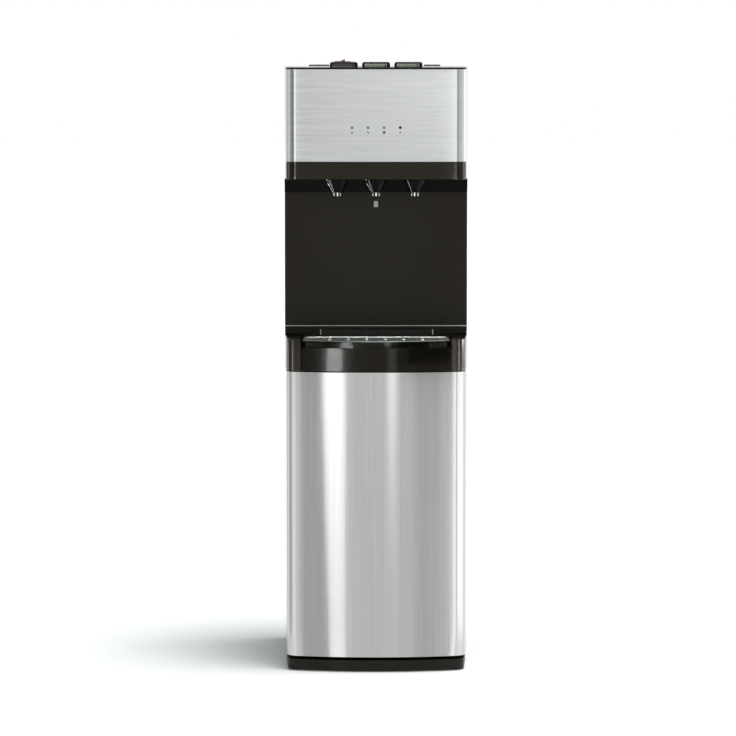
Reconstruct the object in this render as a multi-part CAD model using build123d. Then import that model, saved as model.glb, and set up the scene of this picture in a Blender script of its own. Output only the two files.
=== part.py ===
from build123d import *
import os

os.makedirs("parts", exist_ok=True)

# Bottleless water cooler. X runs to the right, the front faces -Y and Z is up.
# The origin lies on the floor under the middle of the overall box. All sizes are in millimetres.

# Overall plan, measured from the front plane of the cabinet
cabinet_width = 316.0
cabinet_depth = 248.0
corner_reach = 92.0
nose_bow = 21.0
side_taper = 4.7
condenser_reach = 25.0
head_corner_radius = 17.0
nose_corner_radius = 22.0

# Heights, from the floor up
foot_height = 1.5
base_height = 18.5
guard_height = 180.0
door_foot_gap = 6.3
door_height = 491.7
door_head_gap = 1.0
ledge_height = 55.5
bay_height = 272.5
strip_height = 30.0
fascia_height = 158.0
cover_thickness = 3.0

# Flats round the long thin tubes, wires and screws
tube_sides = 6

# Fits, and how far a cut runs past the face that it opens
seat_gap = 0.3
slide_gap = 0.5
pin_clearance = 0.05
glue_gap = 0.1
overcut = 1.0

# Walls
sheet = 1.0
skin_sheet = 0.8
strip_wall = 3.4
bay_wall = 3.0
ledge_wall = 3.5
liner_wall = 3.5
base_wall = 3.0

# Planes that follow from the sizes above
nose_reach = corner_reach + nose_bow
front_y = nose_reach - (nose_reach + cabinet_depth + condenser_reach) / 2
back_y = front_y + cabinet_depth
half_width = cabinet_width / 2
panel_front_y = front_y + bay_wall + seat_gap
rear_panel_y = back_y - sheet - seat_gap
base_top = foot_height + base_height
guard_top = base_top + guard_height
door_bottom = base_top + door_foot_gap
door_top = door_bottom + door_height
ledge_bottom = door_top + door_head_gap
ledge_top = ledge_bottom + ledge_height
head_bottom = ledge_top + bay_height
strip_top = head_bottom + strip_height
cover_bottom = strip_top + fascia_height
cover_top = cover_bottom + cover_thickness

# Sheet metal case
panel_flange = 16.0
panel_bend = 2.5
rear_lip = 10.0
vent_width = 6.0
vent_height = 52.0
vent_pitch = 25.0
vent_columns = 10
vent_rows = 2
vent_row_gap = 16.0
upper_vent_columns = 5
upper_vent_height = 26.0
screw_radius = 2.0
screw_head_radius = 4.0
screw_head_height = 2.2
screw_length = 7.0
screw_inset = 8.0
screw_edge = 16.0
guard_screw_rows = 2
panel_screw_rows = 3

# Base and feet
base_side_inset = 2.0
base_setback = 4.0
base_rib_height = 9.0
base_side_ribs = 2
foot_radius = 16.0
foot_thickness = 5.0
foot_bevel = 0.6
foot_boss_wall = 4.0
foot_side_inset = 36.0
front_foot_reach = 52.0
rear_foot_inset = 30.0

# Top cover: raised middle, turned-down skirts and button wells
plateau_side_inset = 38.5
plateau_end_inset = 15.0
plateau_corner = 20.0
plateau_rise = 2.5
plateau_slope = 30.0
cover_skirt = 9.0
cover_skirt_inset = 25.0
cover_overlap = 10.0
cover_round = 1.0
well_gap = 0.4
well_wall = 2.0
well_corner = 5.0
well_spare = 5.0

# Buttons and their push rods
button_width = 47.8
button_depth = 50.0
button_rise = 9.0
button_travel = 5.0
button_overlap = 3.0
button_wall = 2.0
button_bevel = 3.5
button_pitch = 55.3
rod_radius = 3.0
rod_bevel = 0.8
rod_boss_radius = 6.0
rod_guide_gap = 0.2
rod_guide_rise = 83.0
rod_guide_thickness = 4.0
rod_guide_depth = 20.0
button_skirt = button_travel + button_overlap

# Child lock on the hot button
lock_width = 17.0
lock_depth = 22.0
lock_plate = 1.0
lock_ramp_width = 8.0
lock_peak = 5.0
lock_corner = 0.4
lock_travel = 8.0
lock_offset = -6.6
lock_track = 1.6
lock_track_end = 1.0

# Taps
tap_pitch = 66.7
tap_reach = 50.0
tap_cone_radius = 22.0
tap_neck_radius = 9.0
tap_cone_height = 25.0
tap_neck_height = 2.5
tap_rim_height = 2.0
tap_rim_draw = 0.8
tap_stem_radius = 11.0
tap_nut_flats = 30.0
tap_nut_height = 6.0
tap_chamber_radius = 14.0
tap_chamber_height = 20.0
tap_guide_radius = 8.0
tap_guide_height = 9.0
barb_radius = 4.0
barb_length = 16.0
spout_radius = 7.8
spout_height = 7.7
spout_bevel = 0.6
spout_recess_radius = 5.0
spout_recess_depth = 3.5
rod_entry = 4.0
rod_spare = 3.0

# Dispensing bay
soffit_rear_reach = 22.0
riser_foot_reach = 8.0
riser_height = 25.0
bay_corner = 3.0
bay_lift = 1.3
ridge_rise = 11.5
ridge_size = 1.0
light_width = 8.4
light_height = 11.4
light_corner = 1.9
light_bevel = 0.5
light_drop = 46.0
light_flange = 2.5
light_flange_depth = 1.5
light_proud = 0.8

# Indicator lights in the head
lens_count = 4
lens_pitch = 27.4
lens_radius = 2.4
lens_bevel = 0.5
lens_flange_radius = 3.8
lens_flange_depth = 1.5
lens_proud = 0.6
lens_rise = 58.6
board_width = 112.0
board_height = 36.0
board_thickness = 1.6
board_standoff = 7.0
board_post_radius = 3.5
board_post_inset = 6.0
light_source_radius = 1.5
socket_width = 16.0
socket_height = 9.0
socket_depth = 9.0
socket_x = 38.0
socket_drop = 9.5

# Ledge, drip tray and grille share one bowed outline
rail_width = 28.8
rail_round = 1.5
well_rear_reach = 8.0
ledge_floor = 3.0
tray_wall = 3.0
tray_floor = 3.0
tray_floor_gap = 2.0
tray_rim_drop = 4.2
tray_corner = 18.0
tray_lip = 10.7
tray_relief = 1.0
tray_relief_setback = 15.0
runner_width = 6.0
runner_x = 60.0
runner_end_inset = 8.0
grille_thickness = 1.5
grille_ledge = 1.4
grille_gap = 0.3
slot_width = 5.0
slot_bridge = 5.0
slot_pitch = 32.0
slot_margin = 12.0
slot_row_pitch = 11.0
slot_rows = 7
slot_middle_reach = 60.0
dimple_radius = 2.3
dimple_tip_radius = 0.8
dimple_height = 1.2

# Door and hinge
door_rear_gap = 3.5
hinge_inset = 7.0
hinge_reach = 10.5
hinge_pin_radius = 3.0
hinge_pin_depth = 15.0
hinge_seat_depth = 11.0
hinge_boss_size = 9.0
hinge_boss_height = 20.0
hinge_plate_width = 42.0
hinge_plate_depth = 24.0
hinge_plate_thickness = 3.0
hinge_plate_inset = 2.0
hinge_plate_corner = 2.5
bushing_radius = 5.5
magnet_width = 6.0
magnet_depth = 5.0
magnet_height = 44.0
magnet_wall = 3.0
magnet_side_wall = 1.0

# Filter bay, behind the door
filter_bay_inset = 20.0
filter_bay_margin = 18.0
filter_bay_depth = 60.0
filter_bay_wall = 2.5
filter_bay_corner = 12.0
filter_bay_draft = 2.0
filter_setback = 30.0
filter_radius = 29.0
filter_length = 268.0
filter_dome = 16.0
filter_neck_radius = 12.0
filter_neck_length = 12.0
filter_socket_gap = 0.5
collar_height = 26.0
collar_depth = 4.0
collar_bevel = 5.0
collar_ribs = 8
collar_rib_width = 4.0
collar_rib_proud = 2.5
manifold_head_room = 8.0
manifold_head_radius = 25.0
manifold_head_height = 28.0
manifold_bar_height = 24.0
manifold_bar_depth = 34.0
manifold_corner = 8.0
manifold_foot_inset = 20.0
manifold_foot_margin = 4.0
manifold_port_radius = 5.0
manifold_port_length = 12.0
cold_port_x = 40.0

# Shelves and tanks
shelf_thickness = 2.0
shelf_lip = 12.0
shelf_rear_inset = 8.0
upper_shelf_rise = 24.0
upper_shelf_inset = 35.0
lower_shelf_inset = 68.0
shelf_hole_gap = 2.5
cold_tank_inset = 113.0
cold_tank_radius = 78.0
tank_shoulder = 12.0
foam_radius = 100.0
foam_end_wall = 25.0
foam_drop = 15.5
tank_wall = 1.0
hot_tank_foot_inset = 16.0
hot_tank_foot_height = 16.0
hot_tank_stub_radius = 6.0
hot_tank_stub_height = 8.0
hot_tank_stub_wall = 1.5
hot_tank_drain_depth = 8.0
hot_tank_head_room = 112.0
jacket_wall = 10.0
jacket_end_inset = 10.0
jacket_rear_gap = 33.0
jacket_hose_gap = 7.0
jacket_drier_gap = 8.3

# Refrigeration
compressor_front_gap = 12.5
compressor_rear_gap = 33.0
compressor_height = 168.0
compressor_wall = 12.0
compressor_foot_round = 16.0
compressor_dome_round = 44.0
compressor_seam = 4.0
compressor_seam_rise = 74.0
compressor_seam_height = 5.0
compressor_port_rise = 100.0
leg_inset_x = 8.0
leg_inset_y = 18.0
leg_margin_x = 14.0
leg_margin_y = 14.0
leg_corner = 12.0
leg_thickness = 3.0
leg_drop = 1.0
leg_hole_radius = 5.0
grommet_radius = 10.0
grommet_height = 8.0
grommet_nose = 2.0
plate_thickness = 2.0
plate_lip = 14.0
plate_side_inset = 2.0
plate_front_margin = 14.0
relay_width = 30.0
relay_depth = 50.0
relay_height = 64.0
relay_rise = 30.0
relay_corner = 5.0
drier_radius = 9.5
drier_length = 112.0
drier_neck = 14.0
drier_stub = 6.0
drier_side_inset = 23.0
drier_rear_inset = 38.0
drier_drop = 50.0
pipe_radius = 4.0
discharge_radius = 3.0
capillary_radius = 1.2
pipe_bend = 9.0
capillary_bend = 8.0
capillary_drop = 20.0
capillary_x = -80.0
capillary_inset = 78.0
capillary_shelf_drop = 22.0
suction_gap = 18.0
tube_radius = 2.5
tube_hole_gap = 1.5
tube_inner_length = 16.0
wire_radius = 0.8
weld_gap = 0.05
condenser_side_inset = 40.0
condenser_riser_inset = 22.0
condenser_rise = 82.0
condenser_runs = 13
condenser_pitch = 46.0
condenser_bend_gap = 0.1
condenser_pipe_drop = 24.0
riser_bend = 11.0
wire_pitch = 14.75
wire_overhang = 10.0
bracket_height = 20.0
bracket_sheet = 1.5
bracket_foot = 16.0
bracket_arm = 22.0

# Water side, at the rear
port_rise = 40.0
port_inner_length = 14.0
nut_thickness = 6.0
inlet_x = 90.0
inlet_bore_radius = 3.2
inlet_bore_length = 16.0
inlet_body_radius = 9.0
inlet_hex_flats = 24.0
inlet_reach = 18.0
inlet_bevel = 1.0
hose_radius = 5.0
hose_bend = 9.0
hose_turn = 11.0
hose_wall_gap = 20.0
hose_cross_drop = 52.0
hose_hot_rise = 44.0
hose_room_rise = 59.0
hose_room_gap = 22.0
hose_drain_drop = 38.0
solenoid_width = 28.0
solenoid_height = 32.0
solenoid_length = 68.0
solenoid_stub = 10.0
solenoid_rear_inset = 44.0
solenoid_port_rise = 20.0
solenoid_corner = 5.0
coil_radius = 13.0
coil_height = 30.0
coil_yoke_height = 20.0
coil_yoke_width = 22.0
coil_yoke_depth = 30.0
drain_radius = 7.0
drain_reach = 14.0
drain_hex_flats = 20.0
drain_nut_thickness = 4.0
drain_cap_radius = 10.5
drain_cap_wall = 2.5
drain_cap_round = 1.2
drain_thread_gap = 0.35
flute_count = 6
flute_radius = 2.4
flute_offset = 1.2
cold_drain_x = 30.0
gland_side_inset = 33.0
gland_rise = 22.0
gland_bore_radius = 3.75
gland_body_radius = 7.0
gland_flange_radius = 10.0
gland_flange_thickness = 3.0
gland_length = 18.0
gland_inner_length = 8.0

# Switches, high on the rear panel
switch_plate_width = 96.0
switch_plate_height = 36.0
switch_plate_thickness = 2.5
switch_plate_corner = 3.0
switch_window_margin = 6.0
switch_side_inset = 80.0
switch_drop = 85.0
switch_pitch = 27.0
switch_box_wall = 1.5
switch_box_depth = 15.0
switch_box_floor = 2.0
rocker_width = 13.0
rocker_height = 19.5
rocker_tilt = 8.0
rocker_depth = 7.0
rocker_crest = 1.2
rocker_dip = 0.8
rocker_draw = 3.0
rocker_axis_depth = 1.0

# Places that follow from the sizes above
foot_x = half_width - foot_side_inset
well_half_width = half_width - rail_width
hinge_x = half_width - hinge_inset
lens_z = strip_top + lens_rise
light_z = head_bottom - light_drop
ridge_z = ledge_top + ridge_rise
rod_guide_z = strip_top + rod_guide_rise
button_bottom = cover_top - button_skirt
button_top = cover_top + button_rise
well_floor = button_bottom - button_travel - well_spare
tap_y = front_y - tap_reach
tap_seat_z = head_bottom + bay_wall + seat_gap
tap_chamber_z = tap_seat_z + tap_nut_height
tap_port_z = tap_chamber_z + tap_chamber_height / 2
tap_top = tap_chamber_z + tap_chamber_height + tap_guide_height
barb_end_y = tap_y + tap_chamber_radius + barb_length
rod_bottom = tap_top - rod_entry
tray_floor_z = ledge_bottom + ledge_floor + tray_floor_gap
tray_rim_z = ledge_top - tray_rim_drop
magnet_z = (door_bottom + door_top) / 2
filter_bay_half_width = half_width - filter_bay_inset
filter_bay_bottom = door_bottom + filter_bay_margin
filter_bay_top = door_top - filter_bay_margin
filter_bay_back = front_y + filter_bay_depth
filter_x = tap_pitch
filter_y = front_y + filter_setback
manifold_top = filter_bay_top - manifold_head_room
manifold_bar_z = manifold_top - manifold_bar_height
manifold_bottom = manifold_bar_z - manifold_head_height
manifold_port_z = manifold_bar_z + manifold_bar_height / 2
port_end_y = filter_bay_back + manifold_port_length
shelf_rear = back_y - shelf_rear_inset
upper_shelf_z = ledge_top + upper_shelf_rise
foam_bottom = upper_shelf_z + shelf_thickness + seat_gap
foam_top = tap_port_z - foam_drop
cold_tank_y = back_y - cold_tank_inset
compressor_plate_z = base_top + seat_gap
leg_bottom = compressor_plate_z + plate_thickness + grommet_height + 2 * seat_gap
compressor_bottom = leg_bottom + leg_drop
compressor_front_y = filter_bay_back + filter_bay_wall + compressor_front_gap
compressor_radius = (back_y - compressor_rear_gap - compressor_front_y) / 2 - compressor_seam
compressor_y = compressor_front_y + compressor_seam + compressor_radius
leg_half_x = compressor_radius - leg_inset_x
leg_half_y = compressor_radius - leg_inset_y
suction_y = compressor_y + compressor_radius + suction_gap
port_z = guard_top + port_rise
gland_x = half_width - gland_side_inset
gland_z = guard_top + gland_rise
outer_face = rear_panel_y + seat_gap
port_inner_y = rear_panel_y - port_inner_length
condenser_bottom = guard_top + condenser_rise
condenser_top = condenser_bottom + (condenser_runs - 1) * condenser_pitch
condenser_half_width = half_width - condenser_side_inset
condenser_riser_x = half_width - condenser_riser_inset
condenser_pipe_z = condenser_bottom - condenser_pipe_drop
condenser_tube_y = back_y + condenser_reach - 2 * wire_radius - weld_gap - tube_radius
tube_inner_y = rear_panel_y - tube_inner_length
lower_shelf_z = condenser_bottom - seat_gap - shelf_thickness
hot_tank_bottom = lower_shelf_z + shelf_thickness + seat_gap
hot_tank_top = upper_shelf_z - hot_tank_head_room
drier_x = drier_side_inset - half_width
drier_y = back_y - drier_rear_inset
drier_top = condenser_pipe_z - drier_drop
front_hose_y = port_end_y + hose_turn
jacket_front_y = front_hose_y + hose_radius + jacket_hose_gap
jacket_radius = (back_y - jacket_rear_gap - jacket_front_y) / 2
hot_tank_radius = jacket_radius - jacket_wall
hot_tank_x = drier_x + jacket_drier_gap + jacket_radius
hot_tank_y = jacket_front_y + jacket_radius
hot_outlet_x = -tap_pitch
hot_vent_x = hot_tank_x + hot_tank_radius / 2
solenoid_rear_y = back_y - solenoid_rear_inset
solenoid_front_y = solenoid_rear_y - solenoid_length
switch_x = half_width - switch_side_inset
switch_z = cover_bottom - switch_drop
rocker_axis_y = outer_face + switch_plate_thickness - rocker_axis_depth
lock_x = lock_offset - button_pitch
places = (-1, 0, 1)


def block(x_low, x_high, y_low, y_high, z_low, z_high):
    """Plain block between six faces."""
    size = (x_high - x_low, y_high - y_low, z_high - z_low)
    middle = ((x_low + x_high) / 2, (y_low + y_high) / 2, (z_low + z_high) / 2)
    return Pos(*middle) * Box(*size)


def raised(face, z_low, z_high):
    """Flat plan outline, stood up between two heights."""
    return extrude(Pos(0, 0, z_low) * face, z_high - z_low)


def upright(radius, x, y, z_low, z_high):
    """Round post along Z."""
    return Pos(x, y, (z_low + z_high) / 2) * Cylinder(radius, z_high - z_low)


def rearward(radius, x, z, y_low, y_high):
    """Round bar along Y."""
    return Pos(x, (y_low + y_high) / 2, z) * Rot(90, 0, 0) * Cylinder(radius, y_high - y_low)


def rear_nut(flats, x, z, y_low, thickness):
    """Hexagon nut whose face lies at y_low, its thickness running rearward."""
    outline = Plane.XZ.offset(-y_low) * Pos(x, z) * RegularPolygon(flats / 2, 6, major_radius=False)
    return extrude(outline, -thickness)


def reach_y(reach):
    """Y of a point that lies this far in front of the cabinet's front plane."""
    return front_y - reach


def front_plan(bow, corner_radius, inset=0.0, rear=0.0):
    """Outline ahead of the cabinet: sides that draw in, rounded corners, a flat or bowed front."""
    run_back = 2 * corner_radius
    lean = side_taper / corner_reach * run_back
    back_left = (-half_width - lean, front_y + run_back)
    back_right = (half_width + lean, front_y + run_back)
    front_left = (side_taper - half_width, reach_y(corner_reach))
    front_right = (half_width - side_taper, reach_y(corner_reach))
    if bow:
        front = ThreePointArc(front_left, (0, reach_y(corner_reach + bow)), front_right)
    else:
        front = Line(front_left, front_right)
    outline = make_face([
        Line(back_left, front_left), front, Line(front_right, back_right), Line(back_right, back_left)])
    outline = fillet(outline.vertices().group_by(Axis.Y)[0], corner_radius)
    if inset:
        outline = offset(outline, -inset)
    window_reach = 2 * nose_reach
    window = Pos(0, reach_y(rear) - window_reach / 2) * Rectangle(2 * (half_width - inset), window_reach)
    return outline & window


def head_plan(inset=0.0, rear=0.0):
    return front_plan(0.0, head_corner_radius, inset, rear)


def nose_plan(inset=0.0, rear=0.0):
    return front_plan(nose_bow, nose_corner_radius, inset, rear)


def spread(spots, shape):
    """Flat copies of one outline, at each of the spots."""
    return Sketch() + [spot * shape for spot in spots]


def bent_tube(points, radius, bend):
    """Tube along straight runs joined by arcs, its round section kept to a few flats."""
    path = FilletPolyline(*points, radius=bend)
    section = Plane(origin=path @ 0, z_dir=path % 0) * RegularPolygon(radius, tube_sides)
    return sweep(section, path=path)


def turned(edges):
    """Solid of revolution about Z from half of its outline, drawn as radius and height."""
    return revolve(Plane.XZ * make_face(edges), Axis.Z)


# Case


def foot_spots():
    return [(x, y) for x in (-foot_x, foot_x) for y in (reach_y(front_foot_reach), back_y - rear_foot_inset)]


def make_base():
    """Moulded tray under everything, open below, with ribs and four foot pockets."""
    cabinet_length = back_y - base_side_inset - front_y
    cabinet_plan = Rectangle(2 * (half_width - base_side_inset), cabinet_length)
    cabinet_plan = Pos(0, front_y + cabinet_length / 2) * cabinet_plan
    plan = cabinet_plan + Pos(0, base_setback) * nose_plan(base_side_inset, -base_setback)
    roof = base_top - base_wall
    shell = raised(plan, foot_height, base_top)
    shell -= raised(offset(plan, -base_wall), foot_height - overcut, roof)
    rib_low = roof - base_rib_height
    room = raised(offset(plan, -base_wall / 2), rib_low, roof + base_wall / 2)
    for step in range(-base_side_ribs // 2, base_side_ribs // 2 + 1):
        x = step * foot_x / base_side_ribs
        rib = block(x - base_wall / 2, x + base_wall / 2, -cabinet_width, cabinet_width, rib_low, base_top)
        shell += rib & room
    cross_rib = block(-half_width, half_width, -base_wall / 2, base_wall / 2, rib_low, base_top)
    shell += cross_rib & room
    for x, y in foot_spots():
        shell += upright(foot_radius + foot_boss_wall, x, y, foot_height, roof + base_wall / 2)
        shell -= upright(foot_radius + seat_gap, x, y, foot_height - overcut, foot_thickness + seat_gap)
    return shell


def make_foot_pads():
    pads = []
    for x, y in foot_spots():
        pad = upright(foot_radius, x, y, 0, foot_thickness)
        pads.append(chamfer(pad.edges().sort_by(Axis.Z)[0], foot_bevel))
    return pads


def screw_rows(z_low, z_high, rows):
    """Heights of the screws down one rear sheet, evenly spaced between its ends."""
    run = z_high - z_low - 2 * screw_edge
    return [z_low + screw_edge + run * row / (rows - 1) for row in range(rows)]


def case_screw_heights():
    guard_rows = screw_rows(base_top, guard_top, guard_screw_rows)
    return guard_rows + screw_rows(guard_top, cover_bottom, panel_screw_rows)


def make_side_panel(side):
    """Painted sheet with a turned-in flange at the front and another at the rear."""
    depth = back_y - panel_front_y
    edge = (Align.MAX, Align.MIN)
    outer = Rectangle(panel_flange, depth, align=edge)
    outer = fillet(outer.vertices().group_by(Axis.X)[-1], panel_bend)
    inner = Pos(-sheet, sheet) * Rectangle(panel_flange, depth - 2 * sheet, align=edge)
    inner = fillet(inner.vertices().group_by(Axis.X)[-1], panel_bend - sheet)
    profile = Pos(half_width, panel_front_y) * (outer - inner)
    panel = raised(profile, base_top + seat_gap, cover_bottom - seat_gap)
    for z in case_screw_heights():
        panel -= rearward(screw_radius + seat_gap, half_width - screw_inset, z,
                          back_y - sheet - overcut, back_y + overcut)
    if side < 0:
        panel = mirror(panel, Plane.YZ)
    return panel


def rear_sheet(z_low, z_high):
    """Flat rear sheet with lips turned in along its top and bottom."""
    half = half_width - sheet - panel_bend
    plate = block(-half, half, rear_panel_y - sheet, rear_panel_y, z_low, z_high)
    lip_half = half_width - panel_flange - seat_gap
    for z in (z_low, z_high - sheet):
        plate += block(-lip_half, lip_half, rear_panel_y - rear_lip, rear_panel_y, z, z + sheet)
    for z in case_screw_heights():
        if z_low < z < z_high:
            for x in (screw_inset - half_width, half_width - screw_inset):
                plate -= rear_hole(screw_radius, x, z)
    return plate


def rear_hole(radius, x, z):
    """Cutter for a round hole through either rear sheet."""
    return rearward(radius, x, z, rear_panel_y - sheet - overcut, rear_panel_y + overcut)


def rear_slots(x, z, columns, rows, height):
    """Cutter for a field of upright cooling slots centred on one point."""
    spots = GridLocations(vent_pitch, height + vent_row_gap, columns, rows)
    slots = Pos(x, rear_panel_y, z) * Rot(90, 0, 0) * spread(spots, Rectangle(vent_width, height))
    return extrude(slots, sheet + overcut, both=True)


def make_rear_panel():
    """Upper rear sheet, pierced for the ports, the condenser tube, the switches and some air."""
    panel = rear_sheet(guard_top, cover_bottom - seat_gap)
    panel -= rear_hole(inlet_body_radius + seat_gap, inlet_x, port_z)
    panel -= rear_hole(gland_body_radius + seat_gap, gland_x, gland_z)
    for x in (hot_tank_x, cold_drain_x):
        panel -= rear_hole(drain_radius + seat_gap, x, port_z)
    for x in (-condenser_riser_x, condenser_riser_x):
        panel -= rear_hole(tube_radius + tube_hole_gap, x, condenser_pipe_z)
    window_half = switch_plate_width / 2 - switch_window_margin
    window_rise = switch_plate_height / 2 - switch_window_margin
    panel -= block(switch_x - window_half, switch_x + window_half, rear_panel_y - sheet - overcut,
                   rear_panel_y + overcut, switch_z - window_rise, switch_z + window_rise)
    return panel - rear_slots(-switch_x, switch_z, upper_vent_columns, 1, upper_vent_height)


def make_compressor_guard():
    """Lower rear sheet with two rows of cooling slots."""
    low = base_top + seat_gap
    high = guard_top - seat_gap
    return rear_sheet(low, high) - rear_slots(0, (low + high) / 2, vent_columns, vent_rows, vent_height)


def make_panel_screws():
    """Hexagon-headed sheet metal screws down both rear flanges."""
    screws = []
    for x in (screw_inset - half_width, half_width - screw_inset):
        for z in case_screw_heights():
            seat = Plane.XZ.offset(-back_y) * Pos(x, z)
            shank = extrude(seat * RegularPolygon(screw_radius - glue_gap, tube_sides), screw_length)
            head = extrude(seat * RegularPolygon(screw_head_radius, tube_sides), -screw_head_height)
            screws.append(shank + head)
    return screws


# Top cover, buttons and child lock


def well_plan(place, grow):
    """Rounded opening for one button, enlarged all round by grow."""
    return Pos(place * button_pitch, tap_y) * RectangleRounded(
        button_width + 2 * grow, button_depth + 2 * grow, well_corner)


def make_top_cover():
    """Moulded cover over head and cabinet, with a raised middle and three button wells."""
    cabinet = Pos(0, (front_y + back_y) / 2) * Rectangle(cabinet_width, cabinet_depth)
    cabinet = fillet(cabinet.vertices().group_by(Axis.Y)[-1], panel_bend)
    cover = raised(cabinet + head_plan(0.0, -overcut), cover_bottom, cover_top)
    cover = chamfer(cover.faces().sort_by(Axis.Z)[-1].edges(), cover_round)
    plateau = Pos(0, (front_y + back_y) / 2, cover_top - overcut) * RectangleRounded(
        2 * (half_width - plateau_side_inset), cabinet_depth - 2 * plateau_end_inset, plateau_corner)
    cover += extrude(plateau, plateau_rise + overcut, taper=plateau_slope)
    skirt_low = cover_bottom - cover_skirt
    skirt_top = cover_bottom + cover_thickness / 2
    head_skirt = head_plan(strip_wall + slide_gap, cover_overlap)
    cover += raised(head_skirt - offset(head_skirt, -well_wall), skirt_low, skirt_top)
    rib_half = half_width - sheet - slide_gap
    for x in (-rib_half, rib_half - well_wall):
        cover += block(x, x + well_wall, front_y + cover_skirt_inset, back_y - cover_skirt_inset,
                       skirt_low, skirt_top)
    for place in places:
        cover += raised(well_plan(place, well_gap + well_wall), well_floor, skirt_top)
        cover -= raised(well_plan(place, well_gap), well_floor - overcut, cover_top + overcut)
    return cover


def make_button(place):
    """Hollow cap with bevelled shoulders and a boss over its push rod."""
    roof = button_top - button_wall
    outline = Pos(place * button_pitch, tap_y) * RectangleRounded(
        button_width, button_depth, well_corner - well_gap)
    cap = raised(outline, button_bottom, button_top)
    cap = chamfer(cap.faces().sort_by(Axis.Z)[-1].edges(), button_bevel)
    cap -= raised(offset(outline, -button_wall - button_bevel), button_bottom - overcut, roof)
    boss = upright(rod_boss_radius, place * tap_pitch, tap_y, button_bottom, roof + button_wall / 2)
    cap += boss & raised(outline, button_bottom, button_top)
    if place < 0:
        left = lock_x - lock_width / 2 - lock_track_end
        right = lock_x + lock_width / 2 + lock_travel + lock_track_end
        track_y = (lock_depth + lock_track) / 2 + slide_gap
        for y in (tap_y - track_y, tap_y + track_y):
            cap += block(left, right, y - lock_track / 2, y + lock_track / 2,
                         button_top, button_top + lock_plate)
    return cap


def make_child_lock():
    """Slider between the two rails, with a thumb ramp that rises to the right."""
    low = button_top + seat_gap
    left = lock_x - lock_width / 2
    right = left + lock_width
    outline = make_face(Polyline(
        (left, low), (right, low), (right, low + lock_peak),
        (right - lock_ramp_width, low + lock_plate), (left, low + lock_plate), close=True))
    slider = extrude(Plane.XZ.offset(-tap_y) * outline, lock_depth / 2, both=True)
    return chamfer(slider.edges().filter_by(Axis.Z), lock_corner)


def make_push_rod(place):
    rod = upright(rod_radius, place * tap_pitch, tap_y, rod_bottom, button_bottom)
    return chamfer(rod.edges().sort_by(Axis.Z)[0], rod_bevel)


# Head


def lens_xs():
    return [(step - (lens_count - 1) / 2) * lens_pitch for step in range(lens_count)]


def board_front_y():
    return reach_y(corner_reach - strip_wall - board_standoff)


def lens_flange_y():
    return reach_y(corner_reach - strip_wall - seat_gap)


def lens_holes():
    """Cutters through the steel and the wall behind it, one for each lens."""
    front = reach_y(corner_reach + overcut)
    return [rearward(lens_radius + glue_gap, x, lens_z, front, lens_flange_y() + overcut) for x in lens_xs()]


def make_head_shell():
    """Moulded head: a gloss strip flush with the steel below it, set back under the steel above."""
    recess = skin_sheet + glue_gap
    shell = raised(head_plan(0.0, seat_gap), head_bottom, head_bottom + bay_wall)
    shell += raised(head_plan(0.0, -bay_wall), head_bottom + bay_wall, strip_top)
    shell += raised(head_plan(recess, -bay_wall), strip_top, cover_bottom - seat_gap)
    shell -= raised(head_plan(strip_wall, -bay_wall - overcut), head_bottom - overcut, cover_bottom)
    wall_y = reach_y(corner_reach - strip_wall)
    post_x = board_width / 2 - board_post_inset
    post_z = board_height / 2 - board_post_inset
    for x in (-post_x, post_x):
        for z in (lens_z - post_z, lens_z + post_z):
            shell += rearward(board_post_radius, x, z, wall_y - overcut, board_front_y() - seat_gap)
    shell -= lens_holes()
    guide = Pos(0, tap_y) * Rectangle(cabinet_width, rod_guide_depth)
    guide = raised(guide & head_plan(strip_wall / 2), rod_guide_z, rod_guide_z + rod_guide_thickness)
    for place in places:
        guide -= upright(rod_radius + rod_guide_gap, place * tap_pitch, tap_y,
                         rod_guide_z - overcut, rod_guide_z + rod_guide_thickness + overcut)
    return shell + guide


def make_head_fascia():
    """Brushed steel sheet wrapped round the head, pierced for the lenses."""
    wrap = head_plan(0.0, seat_gap) - head_plan(skin_sheet, -overcut)
    return raised(wrap, strip_top + seat_gap, cover_bottom - seat_gap) - lens_holes()


def make_lens(x):
    """Light guide with a bevelled tip and a flange behind the wall."""
    flange_back = lens_flange_y() + lens_flange_depth
    lens = rearward(lens_radius, x, lens_z, reach_y(corner_reach + lens_proud), flange_back)
    lens = chamfer(lens.edges().sort_by(Axis.Y)[0], lens_bevel)
    return lens + rearward(lens_flange_radius, x, lens_z, lens_flange_y(), flange_back)


def make_control_board():
    """Board with one light under each lens and a plug socket."""
    face_y = board_front_y()
    back_face = face_y + board_thickness
    board = block(-board_width / 2, board_width / 2, face_y, back_face,
                  lens_z - board_height / 2, lens_z + board_height / 2)
    for x in lens_xs():
        board += rearward(light_source_radius, x, lens_z, lens_flange_y() + lens_flange_depth + seat_gap,
                          face_y + board_thickness / 2)
    socket_z = lens_z - socket_drop
    board += block(socket_x - socket_width / 2, socket_x + socket_width / 2, back_face - board_thickness / 2,
                   back_face + socket_depth, socket_z - socket_height / 2, socket_z + socket_height / 2)
    return board


# Taps


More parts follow.
